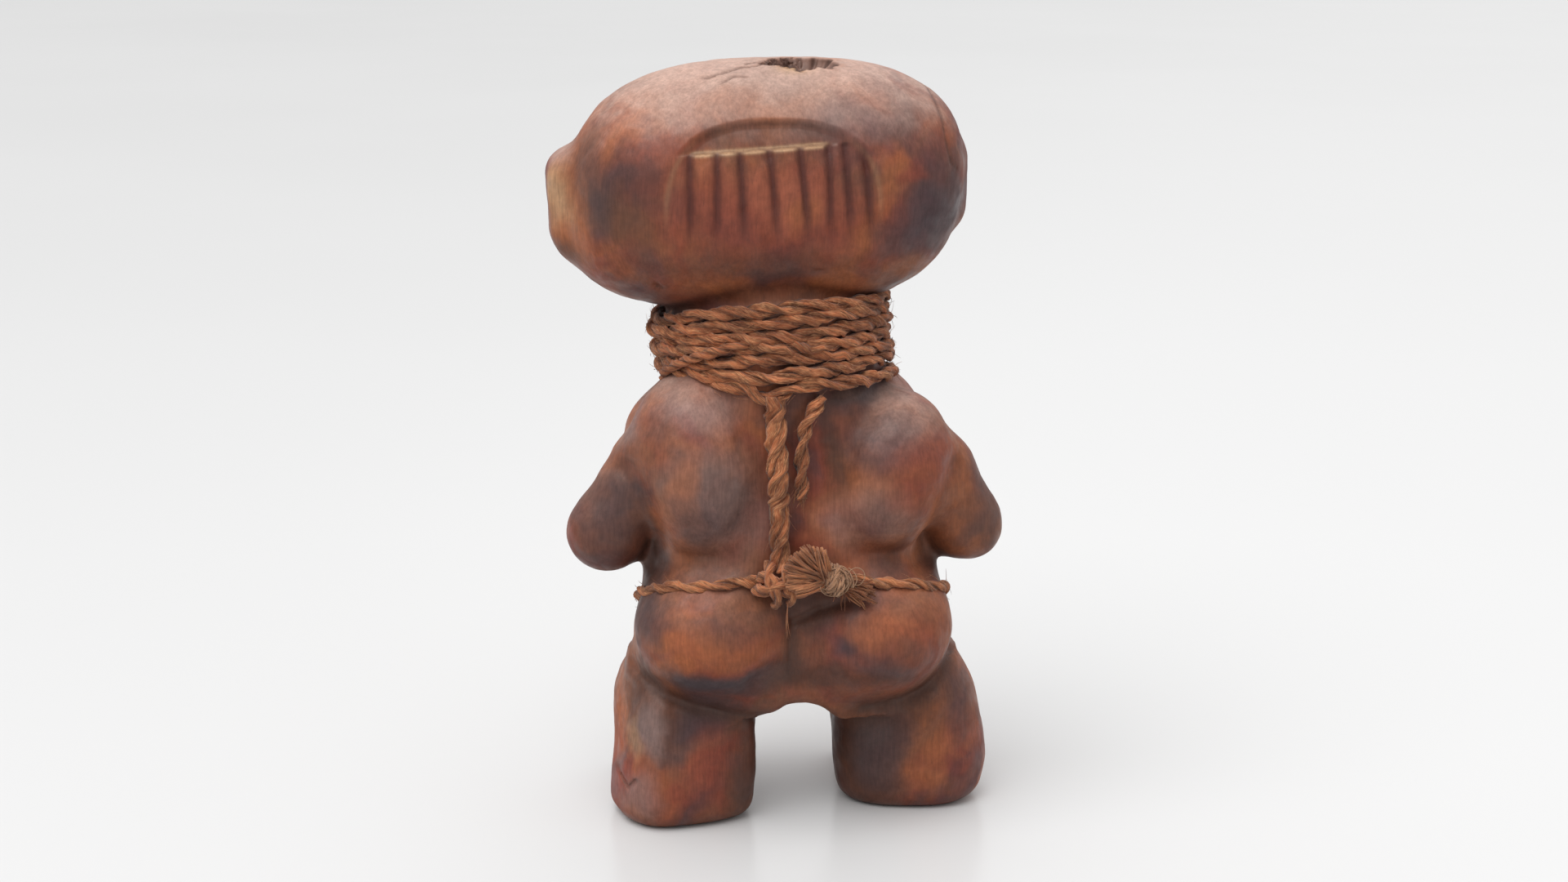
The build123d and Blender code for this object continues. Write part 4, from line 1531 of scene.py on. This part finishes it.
@dataclass
class Studio:
    """The floor, the light and the camera."""

    target: Place = (-0.002, 0.0, 0.126)
    distance: float = 0.86
    side: float = 8.0
    height: float = 13.5
    lens: float = 60.0
    floor_half: float = 9.0
    floor_rows: int = 13
    sky: tuple[float, float] = (0.40, 0.84)
    lamps: tuple = (("key", 1.45, 50.0, (0.55, 0.0, -0.80)), ("front", 0.22, 70.0, (0.9, 0.0, 2.6)))

    def floor(self) -> None:
        """Lays the pale floor."""
        h = self.floor_half
        n = self.floor_rows
        grid = np.linspace(-h, h, n)
        points = [(x, y, 0.0) for y in grid for x in grid]
        starts = [j * n + i for j in range(n - 1) for i in range(n - 1)]
        faces = [(at, at + 1, at + n + 1, at + n) for at in starts]
        made = mesh_piece("floor", np.array(points), faces)
        made.data.materials.append(PaleFloor().material())

    def light(self) -> None:
        """A pale sky all round and soft lamps."""
        world = bpy.data.worlds.new("studio")
        world.use_nodes = True
        b = Bench(world.node_tree)
        rise = b.node("SeparateXYZ", None, Vector=b.node("TexCoord").outputs["Generated"]).outputs["Z"]
        glow = b.ramp(rise, -0.05, 0.75, *self.sky)
        sky = b.node("Background", None, Color=(1.0, 1.0, 1.0), Strength=glow)
        b.node("OutputWorld", None, Surface=sky.outputs[0])
        bpy.context.scene.world = world
        for name, strength, spread, turn in self.lamps:
            lamp = bpy.data.lights.new(name, "SUN")
            lamp.energy = strength
            lamp.angle = math.radians(spread)
            made = bpy.data.objects.new(name, lamp)
            made.rotation_euler = (turn[0], turn[1], turn[2] + math.pi)
            bpy.context.scene.collection.objects.link(made)

    def camera(self) -> None:
        """Stands the camera behind the doll, a little above it."""
        lens = bpy.data.cameras.new("camera")
        lens.lens = self.lens
        lens.sensor_width = 36.0
        made = bpy.data.objects.new("camera", lens)
        side, height = math.radians(self.side), math.radians(self.height)
        reach = self.distance * math.cos(height)
        made.location = (
            self.target[0] + reach * math.sin(side), self.target[1] + reach * math.cos(side),
            self.target[2] + self.distance * math.sin(height),
        )
        made.rotation_euler = (0.5 * math.pi - height, 0.0, math.pi - side)
        bpy.context.scene.collection.objects.link(made)
        bpy.context.scene.camera = made

    def build(self) -> None:
        """Sets up the whole studio."""
        bpy.context.scene.view_settings.view_transform = "Standard"
        self.floor()
        self.light()
        self.camera()


LEFT_ROUTE = (
    (0.0056, 0.0313, 0.1483), (0.0051, 0.0319, 0.1370), (0.0046, 0.0323, 0.1250),
    (0.0042, 0.0320, 0.1120), (0.0040, 0.0316, 0.0995), (0.0034, 0.0324, 0.0910),
)
RIGHT_ROUTE = (
    (-0.0102, 0.0304, 0.1474), (-0.0054, 0.0316, 0.1414), (-0.0035, 0.0316, 0.1335),
    (-0.0031, 0.0315, 0.1240), (-0.0033, 0.0316, 0.1145),
)
PATCHES = (
    # head: dust and painted sheen on top, blue-black right end, dark left cheek, painted light on the left
    # ear, red panel
    # dust with a painted highlight on the head's top, where the light falls
    Patch(Tone.DUST_AND_SHEEN, (6, 2, 250), (66, 38, 18), 0.75),
    Patch(Tone.DUST_AND_SHEEN, (30, 22, 238), (30, 16, 12), 0.45),
    Patch(Tone.ASH, (-14, 30, 236), (26, 16, 10), 0.5),
    Patch(Tone.BLUE_BLACK, (-47, 18, 206), (17, 20, 21), 0.85),
    Patch(Tone.BLUE_BLACK, (-36, 24, 198), (16, 16, 9), 0.6),
    Patch(Tone.RED, (-40, 26, 214), (8, 12, 4), 0.6),
    Patch(Tone.BLUE_BLACK, (-44, 5, 238), (12, 18, 10), 0.35),
    Patch(Tone.UMBER, (50, 22, 208), (16, 18, 20), 0.55),
    Patch(Tone.BLUE_BLACK, (60, 12, 216), (8, 16, 20), 0.55),
    Patch(Tone.BLUE_BLACK, (44, 22, 190), (12, 14, 9), 0.5),
    Patch(Tone.ORANGE, (55, 12, 192), (7, 16, 16), 0.55),
    # the left ear's pale face: its own orange wood with a painted highlight
    Patch(Tone.ORANGE, (68, 2, 204), (10, 18, 22), 0.85),
    Patch(Tone.TAN, (71, 2, 209), (7, 14, 13), 0.85),
    Patch(Tone.UMBER, (70, 2, 190), (8, 14, 6), 0.5),
    Patch(Tone.ORANGE, (14, 30, 240), (24, 12, 9), 0.4),
    Patch(Tone.UMBER, (6, 36, 229), (26, 10, 6), 0.55),
    Patch(Tone.RED, (5, 36, 206), (38, 12, 18), 0.85),
    Patch(Tone.RIB, (3, 38, 212), (30, 9, 15), 0.80),
    Patch(Tone.ORANGE, (-3, 38, 207), (7, 9, 8), 0.60),
    Patch(Tone.UMBER, (8, 30, 190), (36, 16, 7), 0.5),
    Patch(Tone.ORANGE, (18, 22, 180), (26, 16, 6), 0.45),
    Patch(Tone.BLUE_BLACK, (2, 26, 187), (16, 12, 4), 0.45),
    Patch(Tone.ORANGE, (-32, 18, 186), (18, 14, 6), 0.4),
    # back: dust and painted light on the blades, painted shade under the winding and by the right tail
    # dust with a painted highlight on the left shoulder's top
    Patch(Tone.ASH, (26, 22, 144), (18, 18, 8), 0.65),
    Patch(Tone.ASH, (46, 10, 136), (9, 16, 12), 0.5),
    # dust with painted light on the left blade
    Patch(Tone.DUST_AND_SHEEN, (24, 34, 112), (24, 18, 30), 0.35),
    Patch(Tone.BLUE_BLACK, (22, 34, 114), (13, 14, 22), 0.42),
    Patch(Tone.ORANGE, (34, 32, 118), (6, 12, 18), 0.5),
    Patch(Tone.BLUE_BLACK, (52, 14, 112), (12, 14, 10), 0.5),
    Patch(Tone.ORANGE, (58, 12, 124), (9, 14, 12), 0.45),
    Patch(Tone.UMBER, (58, 8, 98), (14, 14, 12), 0.5),
    Patch(Tone.BLUE_BLACK, (32, 34, 106), (10, 12, 14), 0.55),
    Patch(Tone.ORANGE, (40, 26, 100), (8, 12, 16), 0.6),
    # painted shade under the winding on the right, by the right tail and on the right blade's top
    Patch(Tone.BLUE_BLACK, (-30, 20, 146), (22, 16, 6), 0.7),
    Patch(Tone.UMBER, (-14, 28, 132), (5, 12, 22), 0.8),
    Patch(Tone.BLUE_BLACK, (-27, 34, 132), (17, 16, 14), 0.60),
    Patch(Tone.RED, (-44, 26, 126), (20, 16, 16), 0.7),
    # dust with painted light on the right blade's lower part
    Patch(Tone.DUST_AND_SHEEN, (-22, 34, 104), (20, 16, 18), 0.32),
    Patch(Tone.BLUE_BLACK, (-26, 36, 106), (9, 14, 14), 0.45),
    Patch(Tone.ASH, (-14, 36, 102), (7, 10, 9), 0.4),
    Patch(Tone.BLUE_BLACK, (-66, 8, 104), (14, 16, 14), 0.5),
    Patch(Tone.ORANGE, (-45, 22, 96), (6, 16, 17), 0.95),
    Patch(Tone.ORANGE, (-56, 12, 90), (12, 12, 6), 0.55),
    # seat and legs: painted shadow under the buttocks and between the thighs, and blotches
    # painted shadow under the buttocks and between the thighs
    Patch(Tone.UMBER, (30, 16, 44), (34, 22, 14), 0.75),
    Patch(Tone.UMBER, (-30, 14, 40), (30, 22, 16), 0.70),
    Patch(Tone.UMBER, (14, 8, 18), (15, 30, 28), 0.85),
    Patch(Tone.UMBER, (-26, 8, 18), (15, 30, 28), 0.85),
    Patch(Tone.UMBER, (0, 34, 54), (50, 18, 7), 0.75),
    Patch(Tone.UMBER, (-12, 38, 78), (12, 12, 5), 0.70),
    Patch(Tone.ORANGE, (6, 38, 118), (8, 12, 30), 0.35),
    Patch(Tone.ORANGE, (-22, 34, 142), (10, 12, 8), 0.45),
    Patch(Tone.UMBER, (-2, 34, 78), (12, 14, 14), 0.50),
    Patch(Tone.BLUE_BLACK, (42, 22, 76), (10, 16, 12), 0.5),
    Patch(Tone.BLUE_BLACK, (24, 38, 72), (20, 12, 5), 0.45),
    Patch(Tone.ORANGE, (20, 40, 66), (22, 12, 8), 0.5),
    # painted shadow under the left buttock
    Patch(Tone.BLUE_BLACK, (26, 36, 54), (26, 16, 6), 0.8),
    Patch(Tone.BLUE_BLACK, (-15, 40, 67), (6, 12, 7), 0.85),
    Patch(Tone.ORANGE, (-26, 40, 72), (16, 12, 8), 0.45),
    Patch(Tone.RED, (-46, 30, 66), (14, 16, 14), 0.4),
    Patch(Tone.BLUE_BLACK, (-52, 14, 80), (10, 14, 8), 0.45),
    # painted shadow on the left thigh, under the buttock
    Patch(Tone.BLUE_BLACK, (28, 22, 40), (12, 14, 14), 0.6),
    Patch(Tone.ASH, (44, 20, 36), (6, 16, 16), 0.55),
    Patch(Tone.TAN, (50, 18, 30), (4, 14, 10), 0.35),
    Patch(Tone.ASH, (48, 18, 12), (10, 16, 9), 0.45),
    Patch(Tone.RED, (24, 24, 22), (10, 14, 18), 0.25),
    Patch(Tone.BLUE_BLACK, (-60, 14, 40), (12, 16, 14), 0.6),
    Patch(Tone.ORANGE, (-50, 18, 20), (5, 12, 20), 0.40),
    Patch(Tone.BLUE_BLACK, (-32, 18, 22), (12, 14, 20), 0.6),
    Patch(Tone.ORANGE, (-62, 4, 52), (8, 16, 8), 0.5),
)


def main() -> None:
    """Builds the doll piece by piece, and the studio round it."""
    logging.basicConfig(level=logging.INFO, format="%(message)s")
    effects = Effects(grain_group(), blotch_group(), patch_group(), streak_group())
    Studio().build()
    fibre = Fibre(
        effects, "plant_fibre", (0.085, 0.016, 0.007), (0.560, 0.140, 0.050), (1.000, 0.480, 0.220)
    ).material()
    pale = Fibre(
        effects, "pale_twine", (0.380, 0.150, 0.070), (0.850, 0.430, 0.220), (1.000, 0.760, 0.500)
    ).material()
    figure = Figure()
    carving = Carving(figure)
    carving.dress(carving.build(), StainedWood(effects, PATCHES))
    neck = NeckBinding(figure)
    neck.dress(neck.build(), fibre)
    waist = WaistCord(figure)
    waist.dress(waist.build(), fibre)
    SpineTail(
        "left_tail", "spine_cord_left", LEFT_ROUTE, 0.0070, "object",
        twine=Twine(6.8, 24.0, 3, roughness=0.2), frayed=0, seed=3,
    ).build(fibre)
    SpineTail(
        "right_tail", "spine_cord_right", RIGHT_ROUTE, 0.0046, "bare",
        twine=Twine(4.6, 17.0), frayed=16, seed=5,
    ).build(fibre)
    WaistKnot().build(fibre, pale)


if __name__ == "__main__":
    main()
